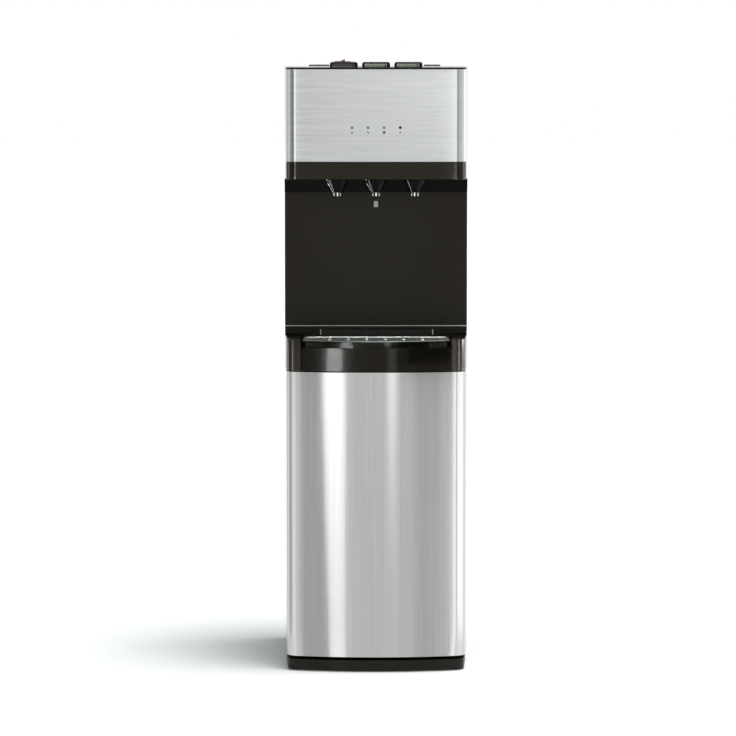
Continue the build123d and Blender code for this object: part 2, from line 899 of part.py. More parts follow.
def make_tap(place):
    """Cone below the soffit, nut and valve chamber above it, and a hose barb at the rear."""
    cone_top = head_bottom - seat_gap
    cone_bottom = head_bottom - tap_cone_height
    chamber_top = tap_chamber_z + tap_chamber_height
    tap = turned(Polyline(
        (0, cone_bottom), (tap_neck_radius, cone_bottom), (tap_neck_radius, cone_bottom + tap_neck_height),
        (tap_cone_radius - tap_rim_draw, cone_top - tap_rim_height), (tap_cone_radius, cone_top),
        (tap_stem_radius, cone_top), (tap_stem_radius, tap_chamber_z),
        (tap_chamber_radius, tap_chamber_z), (tap_chamber_radius, chamber_top),
        (tap_guide_radius, chamber_top), (tap_guide_radius, tap_top), (0, tap_top), close=True))
    nut = RegularPolygon(tap_nut_flats / 2, 6, major_radius=False)
    tap += Pos(0, 0, tap_seat_z) * extrude(nut, tap_nut_height)
    tap = Pos(place * tap_pitch, tap_y, 0) * tap
    tap += rearward(barb_radius, place * tap_pitch, tap_port_z, tap_y, barb_end_y)
    bore_bottom = rod_bottom - button_travel - rod_spare
    return tap - upright(rod_radius + rod_guide_gap, place * tap_pitch, tap_y, bore_bottom, tap_top + overcut)


def make_spout(place):
    """Bright ring with a shallow outlet recess."""
    top = head_bottom - tap_cone_height - seat_gap
    bottom = top - spout_height
    spout = upright(spout_radius, place * tap_pitch, tap_y, bottom, top)
    spout = chamfer(spout.edges().sort_by(Axis.Z)[0], spout_bevel)
    return spout - upright(spout_recess_radius, place * tap_pitch, tap_y,
                           bottom - overcut, bottom + spout_recess_depth)


# Dispensing bay


def make_bay_panel():
    """One moulded sheet: back wall, sloping riser and soffit, with closed riser ends."""
    wall_bottom = ledge_top + bay_lift
    riser_foot = head_bottom - riser_height
    riser_back = front_y + bay_wall
    visible = [
        (reach_y(corner_reach), head_bottom),
        (reach_y(soffit_rear_reach), head_bottom),
        (reach_y(riser_foot_reach), riser_foot),
        (front_y, riser_foot),
        (front_y, wall_bottom)]
    hidden = [
        (riser_back, wall_bottom),
        (riser_back, riser_foot + bay_wall),
        (reach_y(riser_foot_reach), riser_foot + bay_wall),
        (reach_y(soffit_rear_reach), head_bottom + bay_wall),
        (reach_y(corner_reach), head_bottom + bay_wall)]
    side_view = Plane.YZ * make_face(Polyline(*visible, *hidden, close=True))
    panel = extrude(side_view, half_width, both=True)
    cheek = Plane.YZ * make_face(Polyline(
        (reach_y(riser_foot_reach), riser_foot), (reach_y(soffit_rear_reach), head_bottom),
        (riser_back, head_bottom), (riser_back, riser_foot), close=True))
    for side in (-1, 1):
        panel += Pos(side * (half_width - bay_wall / 2), 0, 0) * extrude(cheek, bay_wall / 2, both=True)
    below_head = block(-half_width, half_width, reach_y(corner_reach), riser_back,
                       wall_bottom, head_bottom - seat_gap)
    below_head = fillet(below_head.edges().filter_by(Axis.Y), bay_corner)
    head_room = head_plan(strip_wall + seat_gap, riser_foot_reach)
    in_head = raised(head_room, head_bottom - overcut, head_bottom + bay_wall)
    panel = panel & (below_head + in_head)
    ridge_half = half_width - bay_corner
    panel += block(-ridge_half, ridge_half, front_y - ridge_size, riser_back, ridge_z - ridge_size, ridge_z)
    for place in places:
        panel -= upright(tap_stem_radius + seat_gap, place * tap_pitch, tap_y,
                         head_bottom - overcut, head_bottom + bay_wall + overcut)
    return panel - light_body(glue_gap, front_y - overcut, riser_back + overcut)


def light_body(grow, y_low, y_high):
    """Rounded block of the night light, enlarged all round by grow."""
    outline = Plane.XZ.offset(-y_low) * Pos(0, light_z) * RectangleRounded(
        light_width + 2 * grow, light_height + 2 * grow, light_corner)
    return extrude(outline, y_low - y_high)


def make_night_light():
    """Lens with a bevelled face, and a flange behind the wall."""
    flange_front = front_y + bay_wall + seat_gap
    flange_back = flange_front + light_flange_depth
    lens = light_body(0.0, front_y - light_proud, flange_back)
    lens = chamfer(lens.faces().sort_by(Axis.Y)[0].edges(), light_bevel)
    return lens + light_body(light_flange, flange_front, flange_back)


# Ledge, drip tray and grille


def well_outline():
    """Plan of the tray well: open ahead, with two rounded corners at the rear."""
    length = 2 * nose_reach
    well = Pos(0, reach_y(well_rear_reach) - length / 2) * Rectangle(2 * well_half_width, length)
    return fillet(well.vertices().group_by(Axis.Y)[-1], tray_corner + slide_gap)


def make_ledge():
    """Lower ledge: two side rails and a floor round the tray well, hung from a rear flange."""
    ledge = raised(nose_plan(), ledge_bottom, ledge_top)
    ledge += block(-half_width, half_width, front_y - ledge_wall, front_y + bay_wall, ledge_bottom, ledge_top)
    rims = ledge.faces().sort_by(Axis.Z)[-1].edges()
    rims = [rim for rim in rims if rim.center().Y < front_y]
    ledge = chamfer(rims, rail_round)
    ledge += block(-half_width, half_width, front_y, front_y + bay_wall,
                   ledge_bottom, ledge_top + bay_lift - seat_gap)
    ledge -= raised(well_outline(), ledge_bottom + ledge_floor, ledge_top + bay_lift)
    apron_room = well_outline() - nose_plan(tray_wall + slide_gap + seat_gap)
    ledge -= raised(apron_room, ledge_bottom - overcut, ledge_top)
    rail_room = raised(nose_plan(ledge_wall, ledge_wall), ledge_bottom - overcut, ledge_top - ledge_wall)
    rail_room -= block(-well_half_width - ledge_wall, well_half_width + ledge_wall,
                       reach_y(nose_reach), front_y, ledge_bottom - overcut, ledge_top)
    rail_room -= upright(hinge_boss_size, hinge_x, reach_y(hinge_reach), ledge_bottom - overcut, ledge_top)
    ledge -= rail_room
    return ledge - upright(hinge_pin_radius + pin_clearance, hinge_x, reach_y(hinge_reach),
                           ledge_bottom - overcut, ledge_bottom + hinge_seat_depth + seat_gap)


def tray_plan(inset=0.0):
    """Plan of the tray: the bowed front, straight sides and rounded rear corners."""
    length = 2 * nose_reach
    slab = Pos(0, reach_y(well_rear_reach + slide_gap) - length / 2) * Rectangle(
        2 * (well_half_width - slide_gap), length)
    slab = fillet(slab.vertices().group_by(Axis.Y)[-1], tray_corner)
    outline = slab & nose_plan()
    if inset:
        outline = offset(outline, -inset)
    return outline


def make_drip_tray():
    """Deep tray on two runners, with a front apron that fills the gap between the rails."""
    apron_bottom = ledge_bottom + seat_gap
    tray = raised(tray_plan(), tray_floor_z, tray_rim_z)
    tray += raised(tray_plan() - nose_plan(tray_wall), apron_bottom, tray_floor_z + tray_floor)
    tray -= raised(tray_plan(tray_wall), tray_floor_z + tray_floor, tray_rim_z + overcut)
    seat_z = tray_rim_z - grille_thickness - grille_gap
    tray -= raised(tray_plan(tray_wall - grille_ledge), seat_z, tray_rim_z + overcut)
    relief = raised(nose_plan() - nose_plan(tray_relief), apron_bottom - overcut, tray_rim_z - tray_lip)
    relief_rear = reach_y(corner_reach - tray_relief_setback)
    relief &= block(-half_width, half_width, reach_y(2 * nose_reach), relief_rear,
                    apron_bottom - overcut, tray_rim_z)
    tray -= relief
    for x in (-runner_x, runner_x):
        tray += block(x - runner_width / 2, x + runner_width / 2, reach_y(corner_reach),
                      reach_y(well_rear_reach + runner_end_inset), ledge_bottom + ledge_floor + seat_gap,
                      tray_floor_z + tray_floor / 2)
    return tray


def make_drip_grille():
    """Stamped steel grille: rows of cross slots, and a dimple on each bridge of the middle row."""
    low = tray_rim_z - grille_thickness
    plate = raised(tray_plan(tray_wall - grille_ledge + grille_gap), low, tray_rim_z)
    columns = int(2 * (well_half_width - slot_margin) / slot_pitch)
    spots = GridLocations(slot_pitch, slot_row_pitch, columns, slot_rows)
    slots = spread(spots, Rectangle(slot_pitch - slot_bridge, slot_width))
    plate -= raised(Pos(0, reach_y(slot_middle_reach)) * slots, low - overcut, tray_rim_z + overcut)
    dimple = turned(Polyline(
        (0, 0), (dimple_radius, 0), (dimple_tip_radius, dimple_height), (0, dimple_height), close=True))
    for step in range(columns - 1):
        x = (step - (columns - 2) / 2) * slot_pitch
        plate += Pos(x, reach_y(slot_middle_reach), tray_rim_z) * dimple
    return plate


# Door


def make_door_skin():
    """Bowed steel sheet wrapped round the door."""
    wrap = nose_plan(0.0, door_rear_gap) - nose_plan(skin_sheet)
    return raised(wrap, door_bottom, door_top)


def magnet_block(grow):
    """Bar magnet in the door's free edge, enlarged all round by grow."""
    left = skin_sheet + glue_gap + liner_wall + magnet_side_wall - half_width
    rear = reach_y(door_rear_gap)
    return block(left - grow, left + magnet_width + grow, rear - magnet_depth - grow, rear + grow,
                 magnet_z - magnet_height / 2 - grow, magnet_z + magnet_height / 2 + grow)


def make_door_liner():
    """Moulded pan inside the steel, closed at top and bottom, with the hinge bosses."""
    inset = skin_sheet + glue_gap
    liner = raised(nose_plan(inset, door_rear_gap), door_bottom, door_top)
    hollow = raised(nose_plan(inset + liner_wall), door_bottom + liner_wall, door_top - liner_wall)
    boss = Pos(hinge_x, reach_y(hinge_reach)) * Rectangle(2 * hinge_boss_size, 2 * hinge_boss_size)
    hollow -= raised(boss, door_bottom, door_bottom + hinge_boss_height)
    hollow -= raised(boss, door_top - hinge_boss_height, door_top)
    hollow -= magnet_block(magnet_wall)
    liner -= hollow
    bore = hinge_pin_radius + pin_clearance
    bore_length = hinge_pin_depth + slide_gap + overcut
    for low in (door_bottom - overcut, door_top + overcut - bore_length):
        liner -= upright(bore, hinge_x, reach_y(hinge_reach), low, low + bore_length)
    return liner - magnet_block(glue_gap)


def make_hinge_pins():
    """Lower pin on its screwed plate with a bushing, and the upper pin in the ledge."""
    y = reach_y(hinge_reach)
    plate_bottom = base_top + seat_gap
    plate_top = plate_bottom + hinge_plate_thickness
    right = half_width - base_side_inset - hinge_plate_inset
    lower = block(right - hinge_plate_width, right, reach_y(hinge_plate_depth), front_y - overcut,
                  plate_bottom, plate_top)
    lower = chamfer(lower.edges().filter_by(Axis.Z), hinge_plate_corner)
    bushing_low = plate_top - hinge_plate_thickness / 2
    lower += upright(bushing_radius, hinge_x, y, bushing_low, door_bottom - seat_gap)
    lower += upright(hinge_pin_radius, hinge_x, y, plate_top, door_bottom + hinge_pin_depth)
    upper = upright(hinge_pin_radius, hinge_x, y, door_top - hinge_pin_depth, ledge_bottom + hinge_seat_depth)
    return [lower, upper]


# Filter bay


def manifold_port_xs():
    return (-filter_x, cold_port_x, filter_x)


def make_filter_bay_panel():
    """Drawn tub behind the door, with a flat flange against the cabinet."""
    tall = filter_bay_top - filter_bay_bottom
    face = Plane.XZ.offset(-front_y) * Pos(0, (filter_bay_bottom + filter_bay_top) / 2)
    mouth = face * RectangleRounded(2 * filter_bay_half_width, tall, filter_bay_corner)
    wall = filter_bay_wall
    outside = face * RectangleRounded(
        2 * (filter_bay_half_width + wall), tall + 2 * wall, filter_bay_corner + wall)
    panel = block(-half_width, half_width, front_y, front_y + bay_wall,
                  base_top + seat_gap, ledge_bottom - seat_gap)
    panel += extrude(outside, -(filter_bay_depth + filter_bay_wall), taper=filter_bay_draft)
    panel -= extrude(mouth, -filter_bay_depth, taper=filter_bay_draft)
    for x in manifold_port_xs():
        panel -= rearward(manifold_port_radius + seat_gap, x, manifold_port_z,
                          filter_bay_back - overcut, filter_bay_back + filter_bay_wall + overcut)
    return panel


def make_filter_manifold():
    """Cast bar with a socket over each cartridge and ports through the rear wall."""
    bar_half = filter_x + manifold_head_radius
    foot_half = bar_half - manifold_foot_inset
    bar = block(-bar_half, bar_half, filter_y - manifold_bar_depth / 2, filter_y + manifold_bar_depth / 2,
                manifold_bar_z, manifold_top)
    bar = chamfer(bar.edges().filter_by(Axis.Z), manifold_corner)
    bar += block(-foot_half, foot_half, filter_y, filter_bay_back - seat_gap,
                 manifold_bar_z + manifold_foot_margin, manifold_top - manifold_foot_margin)
    for x in (-filter_x, filter_x):
        bar += upright(manifold_head_radius, x, filter_y, manifold_bottom, manifold_bar_z + overcut)
        bar -= upright(filter_neck_radius + filter_socket_gap, x, filter_y,
                       manifold_bottom - overcut, manifold_bottom + filter_neck_length + seat_gap)
    for x in manifold_port_xs():
        bar += rearward(manifold_port_radius, x, manifold_port_z, filter_y, port_end_y)
    return bar


def make_filter(x):
    """Cartridge with a domed end, a grip collar with ribs and the neck that locks into the manifold."""
    top = manifold_bottom - seat_gap
    bottom = top - filter_length
    dome = filter_dome
    collar_radius = filter_radius - collar_depth
    neck_top = top + filter_neck_length
    body = turned([
        Line((0, bottom), (filter_radius - dome, bottom)),
        CenterArc((filter_radius - dome, bottom + dome), dome, 270, 90),
        Polyline(
            (filter_radius, bottom + dome), (filter_radius, top - collar_height - collar_depth),
            (collar_radius, top - collar_height), (collar_radius, top - collar_bevel),
            (collar_radius - collar_bevel, top), (filter_neck_radius, top), (filter_neck_radius, neck_top),
            (0, neck_top), (0, bottom))])
    for step in range(collar_ribs):
        rib = block(collar_radius - collar_rib_proud, collar_radius + collar_rib_proud, -collar_rib_width / 2,
                    collar_rib_width / 2, top - collar_height, top - collar_bevel)
        body += Rot(0, 0, step * 360 / collar_ribs) * rib
    return Pos(x, filter_y, 0) * body


# Shelves and tanks


def cold_feed_y():
    return port_end_y + hose_wall_gap


def make_shelf(z, front, holes):
    """Pressed shelf between the side panels, with turned-down lips and a hole for each hose or pipe."""
    half = half_width - sheet - seat_gap
    top = z + shelf_thickness
    shelf = block(-half, half, front, shelf_rear, z, top)
    lip_half = half - panel_flange - overcut
    for y in (front, shelf_rear - shelf_thickness):
        shelf += block(-lip_half, lip_half, y, y + shelf_thickness, z - shelf_lip, top)
    for x, y, radius in holes:
        shelf -= upright(radius + shelf_hole_gap, x, y, z - shelf_lip - overcut, top + overcut)
    return shelf


def make_shelves():
    """Upper shelf under the cold tank, lower shelf under the hot tank and the inlet valve."""
    shared = [(cold_drain_x, hot_tank_y, hose_radius)]
    upper = make_shelf(upper_shelf_z, front_y + upper_shelf_inset, shared + [
        (hot_vent_x, hot_tank_y, hose_radius), (cold_port_x, cold_feed_y(), hose_radius),
        (0, suction_y, pipe_radius), (capillary_x, back_y - capillary_inset, capillary_radius)])
    lower = make_shelf(lower_shelf_z, front_y + lower_shelf_inset, shared + [
        (hot_tank_x, hot_tank_y, hose_radius), (0, suction_y, pipe_radius),
        (drier_x, back_y - capillary_inset, capillary_radius)])
    inlet_gap = inlet_body_radius + shelf_hole_gap
    notch_front = port_inner_y - hose_turn - hose_radius - shelf_hole_gap
    lower -= block(inlet_x - inlet_gap, inlet_x + inlet_gap, notch_front, shelf_rear + overcut,
                   lower_shelf_z - shelf_lip - overcut, lower_shelf_z + shelf_thickness + overcut)
    return [upper, lower]


def make_cold_tank():
    """Hollow stainless tank with bevelled shoulders, inside its foam."""
    low = foam_bottom + foam_end_wall
    high = foam_top - foam_end_wall
    tank = tank_form(cold_tank_radius, low, high)
    tank -= tank_form(cold_tank_radius - tank_wall, low + tank_wall, high - tank_wall)
    return Pos(0, cold_tank_y, 0) * tank


def tank_form(radius, z_low, z_high):
    """Upright drum about the origin, with bevelled shoulders."""
    return chamfer(upright(radius, 0, 0, z_low, z_high).edges(), tank_shoulder)


def make_foam():
    """Two foam half shells round the cold tank, parted front to rear."""
    room = upright(cold_tank_radius + seat_gap, 0, cold_tank_y,
                   foam_bottom + foam_end_wall - seat_gap, foam_top - foam_end_wall + seat_gap)
    shell = upright(foam_radius, 0, cold_tank_y, foam_bottom, foam_top) - chamfer(room.edges(), tank_shoulder)
    parting = seat_gap / 2
    front_half = shell & block(-foam_radius, foam_radius, cold_tank_y - foam_radius, cold_tank_y - parting,
                               foam_bottom, foam_top)
    rear_half = shell & block(-foam_radius, foam_radius, cold_tank_y + parting, cold_tank_y + foam_radius,
                              foam_bottom, foam_top)
    return [front_half, rear_half]


def make_hot_tank():
    """Hollow stainless tank on a foot, with two open stubs on top and the drain up its foot."""
    bottom = hot_tank_bottom + hot_tank_foot_height
    top = hot_tank_top - hot_tank_stub_height
    bore = hot_tank_stub_radius - hot_tank_stub_wall
    drain_roof = hot_tank_bottom + hot_tank_drain_depth
    tank = tank_form(hot_tank_radius, bottom, top)
    tank += upright(hot_tank_radius - hot_tank_foot_inset, 0, 0, hot_tank_bottom, bottom + tank_wall / 2)
    stubs = (hot_outlet_x - hot_tank_x, hot_vent_x - hot_tank_x)
    for x in stubs:
        tank += upright(hot_tank_stub_radius, x, 0, top - tank_wall / 2, hot_tank_top)
    tank -= tank_form(hot_tank_radius - tank_wall, bottom + tank_wall, top - tank_wall)
    for x in stubs:
        tank -= upright(bore, x, 0, top - tank_shoulder, hot_tank_top + overcut)
    tank -= upright(hose_radius + seat_gap, 0, 0, hot_tank_bottom - overcut, drain_roof)
    tank -= upright(bore, 0, 0, hot_tank_bottom, bottom + tank_shoulder)
    return Pos(hot_tank_x, hot_tank_y, 0) * tank


def make_jacket():
    """Insulating sleeve round the hot tank."""
    low = hot_tank_bottom + hot_tank_foot_height + jacket_end_inset
    high = hot_tank_top - hot_tank_stub_height - jacket_end_inset
    sleeve = upright(jacket_radius, hot_tank_x, hot_tank_y, low, high)
    return sleeve - upright(hot_tank_radius + seat_gap, hot_tank_x, hot_tank_y, low - overcut, high + overcut)


# Refrigeration


def leg_spots():
    return [(x, y) for x in (-leg_half_x, leg_half_x) for y in (-leg_half_y, leg_half_y)]


def make_compressor():
    """Two drawn shells welded at a seam, on a leg plate, hollow round the pump."""
    low = compressor_bottom
    high = low + compressor_height
    radius = compressor_radius
    foot = compressor_foot_round
    dome = compressor_dome_round
    seam = low + compressor_seam_rise
    seam_top = seam + compressor_seam_height
    can = turned([
        Line((0, low), (radius - foot, low)),
        CenterArc((radius - foot, low + foot), foot, 270, 90),
        Polyline((radius, low + foot), (radius, seam), (radius + compressor_seam, seam),
                 (radius + compressor_seam, seam_top), (radius, seam_top), (radius, high - dome)),
        CenterArc((radius - dome, high - dome), dome, 0, 90),
        Polyline((radius - dome, high), (0, high), (0, low))])
    can -= upright(radius - compressor_wall, 0, 0, low + foot, high - dome)
    plate = RectangleRounded(2 * (leg_half_x + leg_margin_x), 2 * (leg_half_y + leg_margin_y), leg_corner)
    legs = raised(plate, leg_bottom, leg_bottom + leg_thickness)
    for x, y in leg_spots():
        legs -= upright(leg_hole_radius, x, y, leg_bottom - overcut, leg_bottom + leg_thickness + overcut)
    return Pos(0, compressor_y, 0) * (can + legs)


def make_grommets():
    """Rubber mounts between the plate and the compressor's legs, with a nose up each leg hole."""
    low = compressor_plate_z + plate_thickness + seat_gap
    mounts = []
    for x, y in leg_spots():
        mount = upright(grommet_radius, x, compressor_y + y, low, low + grommet_height)
        mounts.append(mount + upright(leg_hole_radius - seat_gap, x, compressor_y + y, low,
                                      leg_bottom + leg_thickness + grommet_nose))
    return mounts


def make_compressor_plate():
    """Pressed plate on the base, with upturned side lips."""
    half = half_width - sheet - seat_gap - plate_side_inset
    front = compressor_y - leg_half_y - leg_margin_y - plate_front_margin
    rear = rear_panel_y - rear_lip - plate_side_inset
    plate = block(-half, half, front, rear, compressor_plate_z, compressor_plate_z + plate_thickness)
    for x in (-half, half - plate_thickness):
        plate += block(x, x + plate_thickness, front, rear_panel_y - panel_flange,
                       compressor_plate_z, compressor_plate_z + plate_lip)
    return plate


def make_relay_cover():
    """Moulded cover over the terminals at the compressor's left side."""
    right = -compressor_radius - compressor_seam - seat_gap
    low = compressor_bottom + relay_rise
    cover = block(right - relay_width, right, compressor_y - relay_depth / 2, compressor_y + relay_depth / 2,
                  low, low + relay_height)
    return chamfer(cover.edges().group_by(Axis.X)[0], relay_corner)


def make_drier():
    """Copper drier, necked at both ends."""
    low = drier_top - drier_length
    outline = Polyline(
        (0, low), (pipe_radius, low), (pipe_radius, low + drier_stub), (drier_radius, low + drier_neck),
        (drier_radius, drier_top - drier_neck), (pipe_radius, drier_top - drier_stub),
        (pipe_radius, drier_top), (0, drier_top), close=True)
    return Pos(drier_x, drier_y, 0) * turned(outline)


def make_refrigerant_pipes():
    """Discharge, drier feed, capillary and suction, each with its ends against what it joins."""
    tube_end = tube_inner_y - seat_gap
    out_z = compressor_bottom + compressor_port_rise
    drier_low = drier_top - drier_length
    capillary_low = drier_low - capillary_drop
    capillary_high = upper_shelf_z - capillary_shelf_drop
    capillary_y = back_y - capillary_inset
    discharge = bent_tube([
        (compressor_radius + seat_gap, compressor_y, out_z), (condenser_riser_x, compressor_y, out_z),
        (condenser_riser_x, compressor_y, condenser_pipe_z), (condenser_riser_x, tube_end, condenser_pipe_z)],
        discharge_radius, pipe_bend)
    feed = bent_tube([
        (-condenser_riser_x, tube_end, condenser_pipe_z), (-condenser_riser_x, drier_y, condenser_pipe_z),
        (drier_x, drier_y, drier_top + seat_gap)], tube_radius, pipe_bend)
    capillary = bent_tube([
        (drier_x, drier_y, drier_low - seat_gap), (drier_x, drier_y, capillary_low),
        (drier_x, capillary_y, capillary_low), (drier_x, capillary_y, capillary_high),
        (capillary_x, capillary_y, capillary_high), (capillary_x, capillary_y, foam_bottom - seat_gap)],
        capillary_radius, capillary_bend)
    suction = bent_tube([
        (0, suction_y, foam_bottom - seat_gap), (0, suction_y, out_z),
        (0, compressor_y + compressor_radius + seat_gap, out_z)], pipe_radius, pipe_bend)
    return [discharge, feed, capillary, suction]


def make_condenser_tube():
    """One flat tube that goes up the side and down in level runs, and two tails into the cabinet."""
    y = condenser_tube_y
    splice_z = condenser_pipe_z + riser_bend
    points = [(condenser_riser_x, y, splice_z), (condenser_riser_x, y, condenser_top)]
    side = -1
    for run in range(condenser_runs):
        z = condenser_top - run * condenser_pitch
        if run:
            points.append((-side * condenser_half_width, y, z))
        points.append((side * condenser_half_width, y, z))
        side = -side
    points[-1] = (-condenser_riser_x, y, condenser_bottom)
    points.append((-condenser_riser_x, y, splice_z))
    turn = condenser_pitch / 2 - condenser_bend_gap
    inner_bends = [turn] * (len(points) - 4)
    tubes = [bent_tube(points, tube_radius, [riser_bend] + inner_bends + [riser_bend])]
    for x in (-condenser_riser_x, condenser_riser_x):
        tubes.append(bent_tube(
            [(x, y, splice_z - weld_gap), (x, y, condenser_pipe_z), (x, tube_inner_y, condenser_pipe_z)],
            tube_radius, pipe_bend))
    return tubes


def make_condenser_wires():
    """Upright wires welded to both sides of the tube runs."""
    lift = tube_radius + weld_gap + wire_radius
    span = condenser_half_width - condenser_pitch / 2
    count = int(2 * span / wire_pitch) + 1
    wires = []
    for y in (condenser_tube_y - lift, condenser_tube_y + lift):
        for step in range(count):
            x = (step - (count - 1) / 2) * wire_pitch
            section = Pos(x, y) * RegularPolygon(wire_radius, tube_sides, rotation=30)
            wires.append(raised(section, condenser_bottom - wire_overhang, condenser_top + wire_overhang))
    return wires


def make_condenser_brackets():
    """Four folded straps that stand the wires off the rear panel."""
    wire_face = condenser_tube_y - tube_radius - weld_gap - 2 * wire_radius - seat_gap
    arm_y = wire_face - bracket_sheet
    foot_y = outer_face
    foot_top = foot_y + bracket_sheet
    straps = []
    for x in (condenser_pitch - condenser_half_width, condenser_half_width - condenser_pitch):
        for z in (condenser_bottom + condenser_pitch / 2, condenser_top - condenser_pitch / 2):
            left = x - bracket_arm / 2
            outline = make_face(Polyline(
                (left - bracket_foot, foot_y), (left + bracket_sheet, foot_y), (left + bracket_sheet, arm_y),
                (left + bracket_arm, arm_y), (left + bracket_arm, wire_face), (left, wire_face),
                (left, foot_top), (left - bracket_foot, foot_top), close=True))
            straps.append(raised(outline, z - bracket_height / 2, z + bracket_height / 2))
    return straps


# Water side


def make_inlet_fitting():
    """Push-in fitting through the rear panel, open towards the rear."""
    mouth = outer_face + inlet_reach
    body = rearward(inlet_body_radius, inlet_x, port_z, port_inner_y, mouth)
    body = chamfer(body.edges().sort_by(Axis.Y)[-1], inlet_bevel)
    body += rear_nut(inlet_hex_flats, inlet_x, port_z, outer_face, nut_thickness)
    return body - rearward(inlet_bore_radius, inlet_x, port_z, mouth - inlet_bore_length, mouth + overcut)


def valve_port_z():
    return lower_shelf_z + shelf_thickness + seat_gap + solenoid_port_rise


def make_solenoid():
    """Inlet valve: body with two ports and the coil on top."""
    low = lower_shelf_z + shelf_thickness + seat_gap
    high = low + solenoid_height
    half = solenoid_width / 2
    body = block(inlet_x - half, inlet_x + half, solenoid_front_y + solenoid_stub,
                 solenoid_rear_y - solenoid_stub, low, high)
    body = chamfer(body.edges().filter_by(Axis.Y), solenoid_corner)
    body += rearward(hose_radius, inlet_x, valve_port_z(), solenoid_front_y, solenoid_rear_y)
    coil_y = (solenoid_front_y + solenoid_rear_y) / 2
    coil = upright(coil_radius, inlet_x, coil_y, high - overcut, high + coil_height)
    yoke_z = high + (coil_height - coil_yoke_height) / 2
    coil += block(inlet_x - coil_yoke_width / 2, inlet_x + coil_yoke_width / 2, coil_y - coil_yoke_depth / 2,
                  coil_y + coil_yoke_depth / 2, yoke_z, yoke_z + coil_yoke_height)
    return body + coil


def make_water_hoses():
    """Every hose run, its ends against the stubs that it joins."""
    valve_z = valve_port_z()
    rail_y = front_y + hose_wall_gap
    barb_y = barb_end_y + seat_gap
    rear_port = port_end_y + seat_gap
    inlet_y = port_inner_y - hose_turn
    foam_low = foam_bottom - seat_gap
    cross_z = manifold_port_z - hose_cross_drop
    hot_z = hot_tank_top + hose_hot_rise
    room_z = hot_tank_top + hose_room_rise
    room_y = rear_port + hose_room_gap
    drain_z = lower_shelf_z - hose_drain_drop
    drain_y = port_inner_y - seat_gap
    routes = [
        [(inlet_x, port_inner_y - seat_gap, port_z), (inlet_x, inlet_y, port_z), (inlet_x, inlet_y, valve_z),
         (inlet_x, solenoid_rear_y + seat_gap, valve_z)],
        [(inlet_x, solenoid_front_y - seat_gap, valve_z), (inlet_x, front_hose_y, valve_z),
         (inlet_x, front_hose_y, cross_z), (-filter_x, front_hose_y, cross_z),
         (-filter_x, front_hose_y, manifold_port_z), (-filter_x, rear_port, manifold_port_z)],
        [(cold_port_x, rear_port, manifold_port_z), (cold_port_x, cold_feed_y(), manifold_port_z),
         (cold_port_x, cold_feed_y(), foam_low)],
        [(filter_x, rear_port, manifold_port_z), (filter_x, room_y, manifold_port_z),
         (filter_x, room_y, room_z), (filter_x, rail_y, room_z), (filter_x, rail_y, tap_port_z),
         (filter_x, barb_y, tap_port_z)],
        [(hot_outlet_x, hot_tank_y, hot_tank_top + seat_gap), (hot_outlet_x, hot_tank_y, hot_z),
         (hot_outlet_x, rail_y, hot_z), (hot_outlet_x, rail_y, tap_port_z),
         (hot_outlet_x, barb_y, tap_port_z)],
        [(0, barb_y, tap_port_z), (0, 0, tap_port_z), (0, 0, foam_top + seat_gap)],
        [(hot_tank_x, hot_tank_y, hot_tank_bottom + hot_tank_drain_depth - seat_gap),
         (hot_tank_x, hot_tank_y, drain_z), (hot_tank_x, drain_y, drain_z)],
        [(cold_drain_x, hot_tank_y, foam_low), (cold_drain_x, hot_tank_y, drain_z),
         (cold_drain_x, drain_y, drain_z)]]
    hoses = [bent_tube(route, hose_radius, hose_bend) for route in routes]
    hoses.append(upright(hose_radius, hot_vent_x, hot_tank_y, hot_tank_top + seat_gap, foam_low))
    return hoses


def make_drain_ports():
    """Threaded spigots for emptying the hot and cold tanks."""
    ports = []
    for x in (hot_tank_x, cold_drain_x):
        port = rearward(drain_radius, x, port_z, port_inner_y, outer_face + drain_reach)
        ports.append(port + rear_nut(drain_hex_flats, x, port_z, outer_face, drain_nut_thickness))
    return ports


def make_drain_cap(x):
    """Screw cap with finger flutes over one drain spigot."""
    low = outer_face + drain_nut_thickness + seat_gap
    roof = outer_face + drain_reach + seat_gap
    cap = rearward(drain_cap_radius, x, port_z, low, roof + drain_cap_wall)
    cap = chamfer(cap.edges().sort_by(Axis.Y)[-1], drain_cap_round)
    cap -= rearward(drain_radius + drain_thread_gap, x, port_z, low - overcut, roof)
    flute_x = drain_cap_radius + flute_offset
    flute = rearward(flute_radius, flute_x, 0, low - overcut, roof + 2 * drain_cap_wall)
    for step in range(flute_count):
        cap -= Pos(x, 0, port_z) * Rot(0, step * 360 / flute_count, 0) * flute
    return cap


def make_cord_gland():
    """Bushing for the mains cord, flanged on the outside."""
    inner = outer_face - gland_inner_length
    outer = inner + gland_length
    gland = rearward(gland_body_radius, gland_x, gland_z, inner, outer)
    gland += rearward(gland_flange_radius, gland_x, gland_z, outer_face, outer_face + gland_flange_thickness)
    return gland - rearward(gland_bore_radius, gland_x, gland_z, inner - overcut, outer + overcut)


# Rear switches


